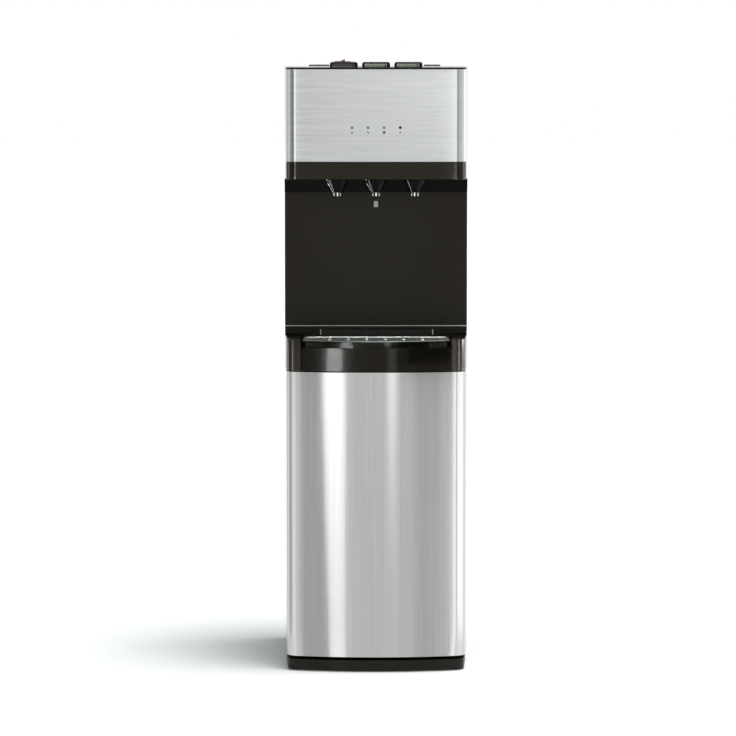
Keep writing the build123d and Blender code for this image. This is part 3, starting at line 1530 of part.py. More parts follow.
def make_switch_plate():
    """Bezel over the window in the rear panel, with a box behind each rocker."""
    half_x = switch_plate_width / 2
    half_z = switch_plate_height / 2
    face = outer_face + switch_plate_thickness
    plate = block(switch_x - half_x, switch_x + half_x, outer_face, face,
                  switch_z - half_z, switch_z + half_z)
    plate = chamfer(plate.edges().filter_by(Axis.Y), switch_plate_corner)
    room_x = rocker_width / 2 + slide_gap
    room_z = rocker_height / 2 + slide_gap
    box_back = outer_face - switch_box_depth
    for place in places:
        x = switch_x + place * switch_pitch
        plate += block(x - room_x - switch_box_wall, x + room_x + switch_box_wall, box_back,
                       outer_face + switch_plate_thickness / 2,
                       switch_z - room_z - switch_box_wall, switch_z + room_z + switch_box_wall)
        plate -= block(x - room_x, x + room_x, box_back + switch_box_floor, face + overcut,
                       switch_z - room_z, switch_z + room_z)
    return plate


def make_rocker(place):
    """Rocker with two sloping halves, at rest tipped to its off side."""
    half = rocker_height / 2
    rise = rocker_depth / 2
    outline = make_face(Polyline(
        (rise + rocker_crest, -half), (rise - rocker_dip, 0), (rise + rocker_crest, half),
        (-rise, half - rocker_draw), (-rise, rocker_draw - half), close=True))
    key = Rot(rocker_tilt, 0, 0) * extrude(Plane.YZ * outline, rocker_width / 2, both=True)
    return Pos(switch_x + place * switch_pitch, rocker_axis_y, switch_z) * key


def write(name, shape):
    """One file for one piece, or for a group of alike pieces."""
    if isinstance(shape, list):
        solids = [solid for piece in shape for solid in piece.solids()]
    else:
        solids = shape.solids()
    body = Compound(children=solids) if len(solids) > 1 else solids[0]
    body.label = name
    export_step(body, f"parts/{name}.step")


write("base", make_base())
write("foot_pads", make_foot_pads())
write("left_side_panel", make_side_panel(-1))
write("right_side_panel", make_side_panel(1))
write("rear_panel", make_rear_panel())
write("compressor_guard", make_compressor_guard())
write("panel_screws", make_panel_screws())
write("top_cover", make_top_cover())
write("head_shell", make_head_shell())
write("head_fascia", make_head_fascia())
write("power_lenses", [make_lens(x) for x in lens_xs()[:-1]])
write("heating_lens", make_lens(lens_xs()[-1]))
write("control_board", make_control_board())
write("bay_panel", make_bay_panel())
write("night_light_lens", make_night_light())
write("ledge", make_ledge())
write("drip_tray", make_drip_tray())
write("drip_grille", make_drip_grille())
write("door_skin", make_door_skin())
write("door_liner", make_door_liner())
write("door_magnet", magnet_block(0.0))
write("hinge_pins", make_hinge_pins())
write("filter_bay_panel", make_filter_bay_panel())
write("filter_manifold", make_filter_manifold())
write("sediment_filter", make_filter(-filter_x))
write("carbon_filter", make_filter(filter_x))
write("shelves", make_shelves())
write("cold_tank", make_cold_tank())
write("cold_tank_foam", make_foam())
write("hot_tank", make_hot_tank())
write("hot_tank_jacket", make_jacket())
write("compressor", make_compressor())
write("compressor_plate", make_compressor_plate())
write("compressor_grommets", make_grommets())
write("relay_cover", make_relay_cover())
write("filter_drier", make_drier())
write("refrigerant_pipes", make_refrigerant_pipes())
write("condenser_tube", make_condenser_tube())
write("condenser_wires", make_condenser_wires())
write("condenser_brackets", make_condenser_brackets())
write("inlet_fitting", make_inlet_fitting())
write("solenoid_valve", make_solenoid())
write("water_hoses", make_water_hoses())
write("drain_ports", make_drain_ports())
write("hot_drain_cap", make_drain_cap(hot_tank_x))
write("cold_drain_cap", make_drain_cap(cold_drain_x))
write("cord_gland", make_cord_gland())
write("switch_plate", make_switch_plate())
write("child_lock_slider", make_child_lock())
write("taps", [make_tap(place) for place in places])
write("tap_spouts", [make_spout(place) for place in places])
for place, name in zip(places, ("hot", "cold", "room")):
    write(f"{name}_button", make_button(place))
    write(f"{name}_push_rod", make_push_rod(place))
for place, name in zip(places, ("night_light", "hot", "cold")):
    write(f"{name}_rocker", make_rocker(place))
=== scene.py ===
import math

import bmesh
import bpy
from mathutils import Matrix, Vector


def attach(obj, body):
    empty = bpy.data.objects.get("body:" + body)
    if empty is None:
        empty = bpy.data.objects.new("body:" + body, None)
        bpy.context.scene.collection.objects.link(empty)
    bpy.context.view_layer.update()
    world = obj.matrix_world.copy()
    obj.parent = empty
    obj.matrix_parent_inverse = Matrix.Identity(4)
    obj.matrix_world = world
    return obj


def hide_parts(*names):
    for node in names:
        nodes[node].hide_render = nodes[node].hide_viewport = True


# Bottleless water cooler. Settings are in millimetres, the scene itself is in metres.
# X runs to the right, the front faces -Y and the floor is at Z = 0.

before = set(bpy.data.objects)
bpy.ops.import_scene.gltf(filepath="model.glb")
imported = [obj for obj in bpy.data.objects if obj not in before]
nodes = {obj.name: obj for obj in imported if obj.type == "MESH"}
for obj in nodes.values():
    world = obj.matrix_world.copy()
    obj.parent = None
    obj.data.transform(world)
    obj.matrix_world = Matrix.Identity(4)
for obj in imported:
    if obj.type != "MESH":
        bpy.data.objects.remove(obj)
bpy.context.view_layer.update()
print("frame loaded:", len(nodes), "nodes")

cabinet = {
    "halfWidth": 158.0,
    "frontY": -80.0,
    "backY": 168.0,
    "reach": 92.0,        # from the cabinet's front plane to the head's face
    "sideTaper": 4.7,
    "headCorner": 17.0,
    "noseCorner": 22.0,
    "noseBow": 21.0,      # how far the middle of the door stands ahead of its corners
    "rearCorner": 2.5,
}
noseHalf = cabinet["halfWidth"] - cabinet["sideTaper"]
noseTip = cabinet["frontY"] - cabinet["reach"] - cabinet["noseBow"]
bowRadius = (noseHalf * noseHalf + cabinet["noseBow"] * cabinet["noseBow"]) / (2 * cabinet["noseBow"])
bowCentreY = noseTip + bowRadius


# outlines, drawn from the right rear round the front to the left rear

def arcPoints(centreX, centreY, radius, startDegrees, endDegrees, steps):
    points = []
    for step in range(steps + 1):
        angle = math.radians(startDegrees + (endDegrees - startDegrees) * step / steps)
        points.append((centreX + radius * math.cos(angle), centreY + radius * math.sin(angle)))
    return points


def halfOutline(bowed, inset=0.0, rear=0.0):
    # right half only, from the rear to the middle of the front
    half, frontY = cabinet["halfWidth"], cabinet["frontY"]
    reach, taper = cabinet["reach"], cabinet["sideTaper"]
    corner = cabinet["noseCorner"] if bowed else cabinet["headCorner"]
    length = math.hypot(taper, reach)
    inX, inY = -reach / length, taper / length           # towards the middle, square to the side
    alongX, alongY = -taper / length, -reach / length    # forwards along the side
    startX, startY = half + inX * corner, frontY + inY * corner
    if bowed:
        offsetY = startY - bowCentreY
        dot = startX * alongX + offsetY * alongY
        gap = startX ** 2 + offsetY ** 2 - (bowRadius - corner) ** 2
        run = -dot + math.sqrt(dot * dot - gap)
    else:
        run = (frontY - reach + corner - startY) / alongY
    centreX, centreY = startX + alongX * run, startY + alongY * run
    firstAngle = math.degrees(math.atan2(-inY, -inX))
    lastAngle = math.degrees(math.atan2(centreY - bowCentreY, centreX)) if bowed else -90.0
    rearY = frontY - rear
    back = (rearY - frontY - inY * inset) / alongY
    rearX = min(half + inX * inset + alongX * back, half - inset)
    points = [(rearX, rearY)]
    if rear < 0:
        points.append((half - inset, frontY))
    points += arcPoints(centreX, centreY, corner - inset, firstAngle, lastAngle, 14)
    if bowed:
        points += arcPoints(0, bowCentreY, bowRadius - inset, lastAngle, -90.0, 28)[1:]
    else:
        points += [(2.0, frontY - reach + inset), (0.0, frontY - reach + inset)]
    return points


def mirrored(points):
    return points + [(-x, y) for x, y in reversed(points) if abs(x) > 1e-6]


def frontOutline(bowed, inset=0.0, rear=0.0):
    return mirrored(halfOutline(bowed, inset, rear))


def wrapOutline(bowed, outer, inner, rear=0.0):
    return frontOutline(bowed, outer, rear) + list(reversed(frontOutline(bowed, inner, rear)))


def roundedOutline(centreX, centreY, width, depth, radius, steps=8):
    points = []
    for cornerX, cornerY, angle in ((1, 1, 0), (-1, 1, 90), (-1, -1, 180), (1, -1, 270)):
        points += arcPoints(centreX + cornerX * (width / 2 - radius), centreY + cornerY * (depth / 2 - radius),
                            radius, angle, angle + 90, steps)
    return points


# modelling helpers

def deselectAll():
    if bpy.context.object and bpy.context.object.mode != "OBJECT":
        bpy.ops.object.mode_set(mode="OBJECT")
    bpy.ops.object.select_all(action="DESELECT")


def addToScene(obj):
    bpy.context.scene.collection.objects.link(obj)


def pick(obj):
    deselectAll()
    obj.select_set(True)
    bpy.context.view_layer.objects.active = obj
    return obj


def openMesh():
    bpy.ops.object.mode_set(mode="EDIT")
    bpy.ops.mesh.select_all(action="SELECT")


def closeMesh():
    # leaves edit mode with every face turned outward
    bpy.ops.mesh.select_all(action="SELECT")
    bpy.ops.mesh.normals_make_consistent(inside=False)
    bpy.ops.object.mode_set(mode="OBJECT")


def solidFrom(name, outline, low, high, axis="z"):
    # flat outline drawn square to Z or Y, then extruded along it
    deselectAll()
    bpy.ops.mesh.primitive_circle_add(vertices=len(outline), radius=1, fill_type="NGON")
    obj = bpy.context.object
    obj.name = obj.data.name = name
    for vertex, (u, v) in zip(obj.data.vertices, outline):
        vertex.co = Vector((u, v, low) if axis == "z" else (u, low, v)) / 1000
    run = (high - low) / 1000
    openMesh()
    bpy.ops.mesh.extrude_region_move(
        TRANSFORM_OT_translate={"value": (0, 0, run) if axis == "z" else (0, run, 0)})
    closeMesh()
    return obj


def turnedFrom(name, profile, x, y, sides=48, axis="z"):
    # rings of (radius, height) stacked one after the other; axis y turns it to point rearward
    deselectAll()
    bpy.ops.mesh.primitive_circle_add(vertices=sides, radius=profile[0][0] / 1000, fill_type="NOTHING",
                                      location=(0, 0, profile[0][1] / 1000))
    obj = bpy.context.object
    obj.name = obj.data.name = name
    bpy.ops.object.transform_apply(location=True, rotation=True, scale=True)
    openMesh()
    bpy.ops.mesh.edge_face_add()
    bpy.ops.mesh.select_all(action="SELECT")
    for (lastRadius, lastHeight), (radius, height) in zip(profile, profile[1:]):
        bpy.ops.mesh.extrude_region_move(
            TRANSFORM_OT_translate={"value": (0, 0, (height - lastHeight) / 1000)})
        size = radius / lastRadius
        bpy.ops.transform.resize(value=(size, size, 1), center_override=(0, 0, height / 1000))
    closeMesh()
    for vertex in obj.data.vertices:
        u, v, w = vertex.co
        u, v = (x / 1000 + u, y / 1000 + v)
        vertex.co = (u, v, w) if axis == "z" else (u, w, v)
    if axis == "y":
        pick(obj)
        openMesh()
        closeMesh()
    return obj


def bevelWhere(obj, chosen, width, segments=2):
    # bevels each sharp edge whose middle, in millimetres, the test accepts
    sharp = math.radians(28)
    pick(obj)
    bpy.ops.object.mode_set(mode="EDIT")
    bpy.ops.mesh.select_mode(type="EDGE")
    bpy.ops.mesh.select_all(action="DESELECT")
    picked = [edge for edge in bmesh.from_edit_mesh(obj.data).edges
              if len(edge.link_faces) == 2 and edge.calc_face_angle(0) > sharp
              and chosen((edge.verts[0].co + edge.verts[1].co) * 500)]
    for edge in picked:
        edge.select_set(True)
    bmesh.update_edit_mesh(obj.data)
    if picked:
        bpy.ops.mesh.bevel(offset=width / 1000, offset_type="OFFSET", segments=segments, affect="EDGES",
                           clamp_overlap=True)
    bpy.ops.object.mode_set(mode="OBJECT")
    return obj


def everyEdge(spot):
    return True


def nearTop(high):
    return lambda spot: spot.z > high - 0.1


def bevelled(name, outline, low, high, width, segments=1, axis="z"):
    return bevelWhere(solidFrom(name, outline, low, high, axis), everyEdge, width, segments)


def block(name, x, y, width, depth, corner, low, high, steps=8, edge=0.0, segments=1):
    # upright slab with rounded corners, its edges broken where a width is given for them
    obj = solidFrom(name, roundedOutline(x, y, width, depth, corner, steps), low, high)
    return bevelWhere(obj, everyEdge, edge, segments) if edge else obj


def cutAway(obj, cutter):
    pick(obj)
    modifier = obj.modifiers.new("cut", "BOOLEAN")
    modifier.operation = "DIFFERENCE"
    modifier.solver = "EXACT"
    modifier.object = cutter
    bpy.ops.object.modifier_apply(modifier=modifier.name)
    bpy.data.objects.remove(cutter)
    return obj


def joined(name, pieces):
    deselectAll()
    for piece in pieces:
        piece.select_set(True)
    bpy.context.view_layer.objects.active = pieces[0]
    bpy.ops.object.join()
    obj = bpy.context.object
    obj.name = obj.data.name = name
    return obj


def copiesOf(obj, moves, name):
    # one modelled piece set down at each of the moves
    made = []
    for dx, dy, dz in moves:
        twin = obj.copy()
        twin.data = obj.data.copy()
        addToScene(twin)
        for vertex in twin.data.vertices:
            vertex.co += Vector((dx, dy, dz)) / 1000
        made.append(twin)
    bpy.data.objects.remove(obj)
    return joined(name, made)


def tubeAlong(name, points, radius, bend, sides=12):
    # round tube along straight runs joined by arcs
    path = [Vector(points[0])]
    for before, corner, after in zip(points, points[1:], points[2:]):
        corner = Vector(corner)
        inward, outward = (Vector(before) - corner).normalized(), (Vector(after) - corner).normalized()
        turn = math.pi - inward.angle(outward)
        size = bend(corner) if callable(bend) else bend
        back = size * math.tan(turn / 2)
        centre = corner + (inward + outward).normalized() * size / math.cos(turn / 2)
        first, last = corner + inward * back - centre, corner + outward * back - centre
        for step in range(9):
            share = step / 8
            arm = first * math.sin((1 - share) * turn) + last * math.sin(share * turn)
            path.append(centre + arm / math.sin(turn))
    path.append(Vector(points[-1]))
    curve = bpy.data.curves.new(name, "CURVE")
    curve.dimensions = "3D"
    spline = curve.splines.new("POLY")
    spline.points.add(len(path) - 1)
    for point, spot in zip(spline.points, path):
        point.co = (*(spot / 1000), 1)
    curve.bevel_depth = radius / 1000
    curve.bevel_resolution = sides // 4 - 1
    curve.use_fill_caps = True
    obj = bpy.data.objects.new(name, curve)
    addToScene(obj)
    pick(obj)
    bpy.ops.object.convert(target="MESH")
    return bpy.context.object


def smoothed(obj, degrees):
    pick(obj)
    bpy.ops.object.shade_smooth_by_angle(angle=math.radians(degrees))
    modifier = obj.modifiers.new("even", "WEIGHTED_NORMAL")
    modifier.keep_sharp = True
    modifier.weight = 80
    bpy.ops.object.modifier_apply(modifier=modifier.name)
    return obj


def finished(obj, finishName, slotName, *replaced, body="cabinet", degrees=34):
    smoothed(obj, degrees)
    obj.data.materials.clear()
    obj.data.materials.append(materials[finishName])
    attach(obj, body)
    if replaced:
        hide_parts(*replaced)
    return obj


def repaint(obj, finishName, chosen):
    # gives a second finish to the faces whose middle, in millimetres, the test accepts
    obj.data.materials.append(materials[finishName])
    for face in obj.data.polygons:
        if chosen(face.center * 1000):
            face.material_index = len(obj.data.materials) - 1


def dressedCopy(nodeName, name, width):
    # copy of a plain part with its edges broken
    source = nodes[nodeName]
    twin = source.copy()
    twin.data = source.data.copy()
    for key in list(twin.keys()):
        del twin[key]
    twin.parent = None
    twin.name = twin.data.name = name
    addToScene(twin)
    pick(twin)
    bpy.ops.mesh.customdata_custom_splitnormals_clear()
    bpy.ops.object.mode_set(mode="EDIT")
    bpy.ops.mesh.select_all(action="SELECT")
    bpy.ops.mesh.remove_doubles(threshold=0.000002)
    bpy.ops.mesh.dissolve_limited(angle_limit=math.radians(0.6))
    bpy.ops.object.mode_set(mode="OBJECT")
    return bevelWhere(twin, everyEdge, width)


# shared textures

def feed(tree, node, inputs):
    # a socket given for an input is linked to it, and a value is set
    for name, value in inputs.items():
        if isinstance(value, bpy.types.NodeSocket):
            tree.links.new(value, node.inputs[name])
        else:
            node.inputs[name].default_value = value


def addNode(tree, kind, inputs=None, **settings):
    node = tree.nodes.new(kind)
    for name, value in settings.items():
        setattr(node, name, value)
    feed(tree, node, inputs or {})
    return node


def mathOf(tree, operation, *inputs):
    return addNode(tree, "ShaderNodeMath", dict(enumerate(inputs)), operation=operation).outputs[0]


def noiseOf(tree, place, scale, detail, **more):
    return addNode(tree, "ShaderNodeTexNoise", {"Vector": place, "Scale": scale, "Detail": detail,
                                                **more}).outputs["Fac"]


def newGroup(name, places, amounts):
    # each group also takes a colour, and puts out a colour, a roughness and a height
    group = bpy.data.node_groups.new(name, "ShaderNodeTree")
    inputs = [(place, "Vector") for place in places] + [("Colour", "Color")]
    inputs += [(amount, "Float") for amount in amounts]
    outputs = [("Colour", "Color"), ("Roughness", "Float"), ("Height", "Float")]
    for way, sockets in (("INPUT", inputs), ("OUTPUT", outputs)):
        for socketName, kind in sockets:
            group.interface.new_socket(socketName, in_out=way, socket_type="NodeSocket" + kind)
    return group, group.nodes.new("NodeGroupInput").outputs, group.nodes.new("NodeGroupOutput")


def shadeAndGloss(group, start, centred):
    # noise about zero shades the colour and varies the roughness
    tone = mathOf(group, "MULTIPLY_ADD", centred, start["Contrast"], 1.0)
    shade = addNode(group, "ShaderNodeVectorMath", {0: start["Colour"], "Scale": tone}, operation="SCALE")
    return shade.outputs[0], mathOf(group, "MULTIPLY_ADD", centred, start["Spread"], start["Gloss"])


def makeGrainGroup():
    # long fine scratches, with slow clouds across them
    group, start, end = newGroup("brushed grain", ("Scratches", "Clouds"), ("Contrast", "Gloss", "Spread"))
    fine = noiseOf(group, start["Scratches"], 1.0, 5.0, Roughness=0.62)
    cloud = noiseOf(group, start["Clouds"], 1.0, 2.0)
    centred = mathOf(group, "SUBTRACT", mathOf(group, "ADD", fine, cloud), 1.0)
    shade, rough = shadeAndGloss(group, start, centred)
    feed(group, end, {"Colour": shade, "Roughness": rough, "Height": fine})
    return group


def makeSkinGroup():
    # moulded or painted skin: fine texture, faint clouds and a little dust on what faces up
    group, start, end = newGroup("moulded skin", ["Place"], ("Grain", "Contrast", "Gloss", "Spread", "Dust"))
    fine = noiseOf(group, start["Place"], start["Grain"], 3.0)
    cloud = noiseOf(group, start["Place"], 9.0, 4.0)
    shade, rough = shadeAndGloss(group, start, mathOf(group, "SUBTRACT", cloud, 0.5))
    normal = addNode(group, "ShaderNodeNewGeometry").outputs["Normal"]
    facing = addNode(group, "ShaderNodeSeparateXYZ", {0: normal}).outputs["Z"]
    upward = addNode(group, "ShaderNodeMapRange", {"Value": facing, "From Min": 0.6, "From Max": 1.0}).outputs[0]
    patch = mathOf(group, "MULTIPLY", mathOf(group, "MULTIPLY", upward, start["Dust"]), cloud)
    dusty = addNode(group, "ShaderNodeMix", {"Factor": patch, "A": shade, "B": (0.42, 0.41, 0.39, 1)},
                    data_type="RGBA")
    feed(group, end, {"Colour": dusty.outputs["Result"], "Roughness": rough, "Height": fine})
    return group


grainGroup = makeGrainGroup()
skinGroup = makeSkinGroup()


# finishes

def newMaterial(name):
    material = bpy.data.materials.new(name)
    material.use_nodes = True
    tree = material.node_tree
    return material, tree, tree.nodes["Principled BSDF"]


materials = {}


def addFinish(name, colour, roughness, **look):
    # brushed metal where scratches are given, else a moulded or painted skin
    brushed = "scratches" in look
    look = {"contrast": 0.12, "spread": 0.08, "grain": 900.0, "dust": 0.0, "metallic": float(brushed),
            "specular": 0.5, "tint": (1, 1, 1), "depth": 0.0002 if brushed else 0.0003, **look}
    material, tree, shader = newMaterial(name)
    place = addNode(tree, "ShaderNodeTexCoord").outputs["Object"]
    inputs = {"Colour": (*colour, 1), "Contrast": look["contrast"], "Gloss": roughness, "Spread": look["spread"]}
    if brushed:
        for key in ("scratches", "clouds"):
            mapping = addNode(tree, "ShaderNodeMapping", {"Vector": place, "Scale": look[key]})
            inputs[key.capitalize()] = mapping.outputs[0]
    else:
        inputs.update({"Place": place, "Grain": look["grain"], "Dust": look["dust"]})
    texture = addNode(tree, "ShaderNodeGroup", node_tree=grainGroup if brushed else skinGroup)
    feed(tree, texture, inputs)
    feed(tree, shader, {"Base Color": texture.outputs["Colour"], "Roughness": texture.outputs["Roughness"],
                        "Metallic": look["metallic"], "Specular IOR Level": look["specular"],
                        "Specular Tint": (*look["tint"], 1)})
    if "coat" in look:
        feed(tree, shader, {"Coat Weight": look["coat"], "Coat Roughness": 0.05})
    if "glow" in look:
        feed(tree, shader, {"Emission Color": (*look["glowColour"], 1), "Emission Strength": look["glow"]})
    if "stretch" in look:
        tangent = addNode(tree, "ShaderNodeTangent", direction_type="RADIAL", axis="Z").outputs[0]
        feed(tree, shader, {"Anisotropic": look["stretch"], "Anisotropic Rotation": look.get("turn", 0.0),
                            "Tangent": tangent})
    if "bump" in look:
        bump = addNode(tree, "ShaderNodeBump", {"Height": texture.outputs["Height"], "Strength": look["bump"],
                                                "Distance": look["depth"]})
        feed(tree, shader, {"Normal": bump.outputs["Normal"]})
    materials[name] = material


# black parts with a sheen
polished = dict(spread=0.03, grain=400, bump=0.01, tint=(1.0, 0.90, 0.76))

# brushed and bare metals
addFinish("fasciaSteel", (0.515, 0.531, 0.526), 0.135, scratches=(16, 16, 900), clouds=(9, 9, 210),
          contrast=0.17, spread=0.05, bump=0.03, stretch=0.6)
addFinish("doorSteel", (0.60, 0.60, 0.59), 0.17, scratches=(800, 800, 9), clouds=(190, 190, 2.4),
          contrast=0.16, spread=0.06, bump=0.03, stretch=0.7, turn=0.25)
addFinish("grilleSteel", (0.27, 0.305, 0.275), 0.30, scratches=(1500, 60, 60), clouds=(9, 9, 9), contrast=0.12,
          spread=0.08, bump=0.03, metallic=0.55)
addFinish("rimSteel", (0.32, 0.34, 0.32), 0.25, scratches=(90, 90, 90), clouds=(9, 9, 9), contrast=0.08,
          spread=0.05, bump=0.01)
# near white steel for painted highlights on the grille's dimples and on the rear of its rim
addFinish("paintedHighlightSteel", (0.92, 0.93, 0.90), 0.35, scratches=(90, 90, 90), clouds=(9, 9, 9), contrast=0.05,
          spread=0.05, bump=0.01, metallic=0.2)
addFinish("tankSteel", (0.55, 0.55, 0.54), 0.36, scratches=(60, 60, 1400), clouds=(5, 5, 5), contrast=0.18,
          spread=0.10, bump=0.04)
addFinish("pinSteel", (0.52, 0.52, 0.51), 0.28, scratches=(400, 400, 2200), clouds=(12, 12, 12), contrast=0.14,
          spread=0.08, bump=0.02)
addFinish("zincSheet", (0.50, 0.515, 0.52), 0.42, scratches=(46, 46, 34), clouds=(14, 14, 14), contrast=0.34,
          spread=0.20, bump=0.03)
addFinish("screwZinc", (0.46, 0.46, 0.44), 0.32, scratches=(300, 300, 300), clouds=(30, 30, 30), contrast=0.2,
          spread=0.10, bump=0.02)
addFinish("copperTube", (0.70, 0.36, 0.22), 0.30, scratches=(200, 200, 200), clouds=(12, 12, 12), contrast=0.2,
          spread=0.14, bump=0.02)
# plastics, paints and rubber
addFinish("glossBlack", (0.0105, 0.009, 0.005), 0.08, specular=0.22, **polished)
addFinish("apronBlack", (0.0036, 0.0028, 0.0018), 0.09, specular=0.24, **polished)
addFinish("satinBlack", (0.0168, 0.0130, 0.0080), 0.42, specular=0.17, grain=1500, bump=0.05, dust=0.02)
addFinish("tapBlack", (0.003, 0.003, 0.0028), 0.11, specular=0.07, bump=0.01)
addFinish("bayBlack", (0.0225, 0.0178, 0.0110), 0.42, specular=0.17, grain=1500, bump=0.05, dust=0.02)
# darker black for the riser under the head: painted shade of the head's overhang
addFinish("riserPaintedShade", (0.0040, 0.0032, 0.0020), 0.30, specular=0.07, grain=1500, bump=0.02)
addFinish("lipBlack", (0.0036, 0.0028, 0.0018), 0.09, specular=0.20, **polished)
# dark green-grey: a painted reflection of the grille in the well's rear wall
addFinish("grilleReflectionGrey", (0.016, 0.018, 0.013), 0.25, specular=0.25)
addFinish("railBlack", (0.0045, 0.0035, 0.002), 0.14, specular=0.35, bump=0.01, tint=(1.0, 0.92, 0.82))
addFinish("coverBlack", (0.006, 0.006, 0.0055), 0.10, specular=0.14, grain=1300, bump=0.004, spread=0.02,
          dust=0.02)
addFinish("panelPaint", (0.020, 0.020, 0.019), 0.48, grain=1100, bump=0.22, depth=0.0004, contrast=0.2)
addFinish("buttonBlack", (0.006, 0.006, 0.0055), 0.20, specular=0.10, bump=0.01)
# light grey for painted highlights: the ridge line in the bay and the well's two rear corners
addFinish("paintedHighlightGrey", (0.68, 0.65, 0.60), 0.40, specular=0.2)
addFinish("buttonGrey", (0.290, 0.325, 0.272), 0.34, metallic=0.25, bump=0.02)
addFinish("trackRed", (0.16, 0.020, 0.016), 0.40, specular=0.15)
addFinish("hotFace", (0.038, 0.036, 0.027), 0.34, metallic=0.2, bump=0.02)
addFinish("lockRed", (0.33, 0.018, 0.018), 0.30, bump=0.01, coat=0.3)
addFinish("lensGreen", (0.10, 0.17, 0.09), 0.25, coat=0.5, glow=0.05, glowColour=(0.55, 1.0, 0.5))
addFinish("lensRed", (0.05, 0.004, 0.004), 0.25, coat=0.1, specular=0.25, glow=0.012,
          glowColour=(1.0, 0.12, 0.10))
addFinish("lensWhite", (0.28, 0.28, 0.265), 0.35, coat=0.4, glow=0.09, glowColour=(1.0, 0.98, 0.92))
addFinish("iconGrey", (0.06, 0.065, 0.065), 0.5)
addFinish("iconFaint", (0.20, 0.19, 0.19), 0.5)
addFinish("brightRing", (0.86, 0.86, 0.85), 0.04, metallic=1.0, spread=0.02, contrast=0.02)
addFinish("whitePlastic", (0.76, 0.77, 0.755), 0.38, grain=1200, bump=0.03, contrast=0.05)
addFinish("bluePlastic", (0.06, 0.16, 0.34), 0.34, grain=1200, bump=0.03)
addFinish("boardGreen", (0.02, 0.11, 0.045), 0.35, grain=300, contrast=0.5)
addFinish("foamBeads", (0.78, 0.75, 0.64), 0.85, grain=320, bump=0.5, depth=0.001)
addFinish("blackRubber", (0.012, 0.012, 0.012), 0.62, grain=1800, bump=0.08)
addFinish("compressorPaint", (0.008, 0.008, 0.008), 0.22, coat=0.4, grain=90, bump=0.05)
addFinish("magnetGrey", (0.05, 0.05, 0.052), 0.45, metallic=0.6, bump=0.05)
addFinish("hoseWhite", (0.72, 0.72, 0.68), 0.36, grain=600, bump=0.02)
print("finishes made:", len(materials))

# finishes of the parts that keep their shape, or that a copy with broken edges stands for
finishNodes = {
    "satinBlack": "base door_liner relay_cover hot_drain_cap cold_drain_cap switch_plate",
    "blackRubber": "foot_pads compressor_grommets cord_gland",
    "panelPaint": "left_side_panel right_side_panel",
    "zincSheet": "rear_panel compressor_guard shelves compressor_plate condenser_brackets",
    "glossBlack": "night_light_rocker hot_rocker cold_rocker",
    "lensGreen": "power_lenses",
    "lensRed": "heating_lens",
    "boardGreen": "control_board",
    "magnetGrey": "door_magnet",
    "pinSteel": "hinge_pins",
    "whitePlastic": "filter_bay_panel filter_manifold sediment_filter inlet_fitting solenoid_valve drain_ports"
                    " hot_push_rod cold_push_rod room_push_rod",
    "bluePlastic": "carbon_filter",
    "tankSteel": "cold_tank hot_tank",
    "foamBeads": "cold_tank_foam hot_tank_jacket",
    "compressorPaint": "compressor",
    "copperTube": "filter_drier refrigerant_pipes",
    "hoseWhite": "water_hoses",
}
nodeFinish = {nodeName: finishName for finishName, nodeNames in finishNodes.items()
              for nodeName in nodeNames.split()}
for nodeName, finishName in nodeFinish.items():
    nodes[nodeName].data.materials.clear()
    nodes[nodeName].data.materials.append(materials[finishName])


# door

door = {"skin": 0.8, "rearGap": 3.5, "low": 26.3, "high": 518.0, "edge": 0.3}
doorSkin = bevelled("doorSkin", wrapOutline(True, 0.0, door["skin"], door["rearGap"]), door["low"],
                    door["high"], door["edge"], 2)
finished(doorSkin, "doorSteel", "door_steel", "door_skin", body="door")
print("door skin done")

# head: steel fascia, and the moulded shell whose lower edge is the gloss strip

head = {"low": 847.0, "stripTop": 877.0, "seam": 0.3, "top": 1034.7, "steel": 0.8, "recess": 0.9,
        "wall": 3.4, "overlap": 3.0, "roundEdge": 0.7, "steelEdge": 0.28}
lens = {"z": 935.6, "pitch": 27.4, "hole": 2.5, "front": -176.0, "rear": -160.0}
guide = {"width": 302.0, "depth": 20.0, "corner": 1.0, "low": 960.0, "high": 964.0, "y": -130.0, "hole": 3.2,
         "pitch": 66.7}
lensSpots = [(step - 1.5) * lens["pitch"] for step in range(4)]


def lensCutter():
    profile = [(lens["hole"], lens["front"]), (lens["hole"], lens["rear"])]
    return joined("lensCut", [turnedFrom("lensCut", profile, x, lens["z"], 32, "y") for x in lensSpots])


fascia = solidFrom("headFascia", wrapOutline(False, 0.0, head["steel"], head["seam"]),
                   head["stripTop"] + head["seam"], head["top"])
bevelWhere(fascia, nearTop(head["top"]), head["roundEdge"], 3)
bevelWhere(fascia, lambda spot: spot.z < head["top"] - 5, head["steelEdge"])
cutAway(fascia, lensCutter())
finished(fascia, "fasciaSteel", "fascia_steel", "head_fascia")

strip = bevelled("strip", wrapOutline(False, 0.0, head["wall"], head["seam"]), head["low"],
                 head["stripTop"], head["roundEdge"], 3)
innerWall = solidFrom("innerWall", wrapOutline(False, head["recess"], head["wall"], -head["overlap"]),
                      head["stripTop"] - 0.5, head["top"])
guidePlate = block("guide", 0, guide["y"], guide["width"], guide["depth"], guide["corner"], guide["low"],
                   guide["high"])
holeProfile = [(guide["hole"], guide["low"] - 5), (guide["hole"], guide["low"] + 10)]
cutAway(guidePlate, joined("guideHoles", [
    turnedFrom("hole", holeProfile, place * guide["pitch"], guide["y"], 24) for place in (-1, 0, 1)]))
cutAway(innerWall, lensCutter())
headShell = joined("headShell", [strip, innerWall, guidePlate])
finished(headShell, "glossBlack", "gloss_black", "head_shell")
print("head done")

# small plain marks printed under the lenses

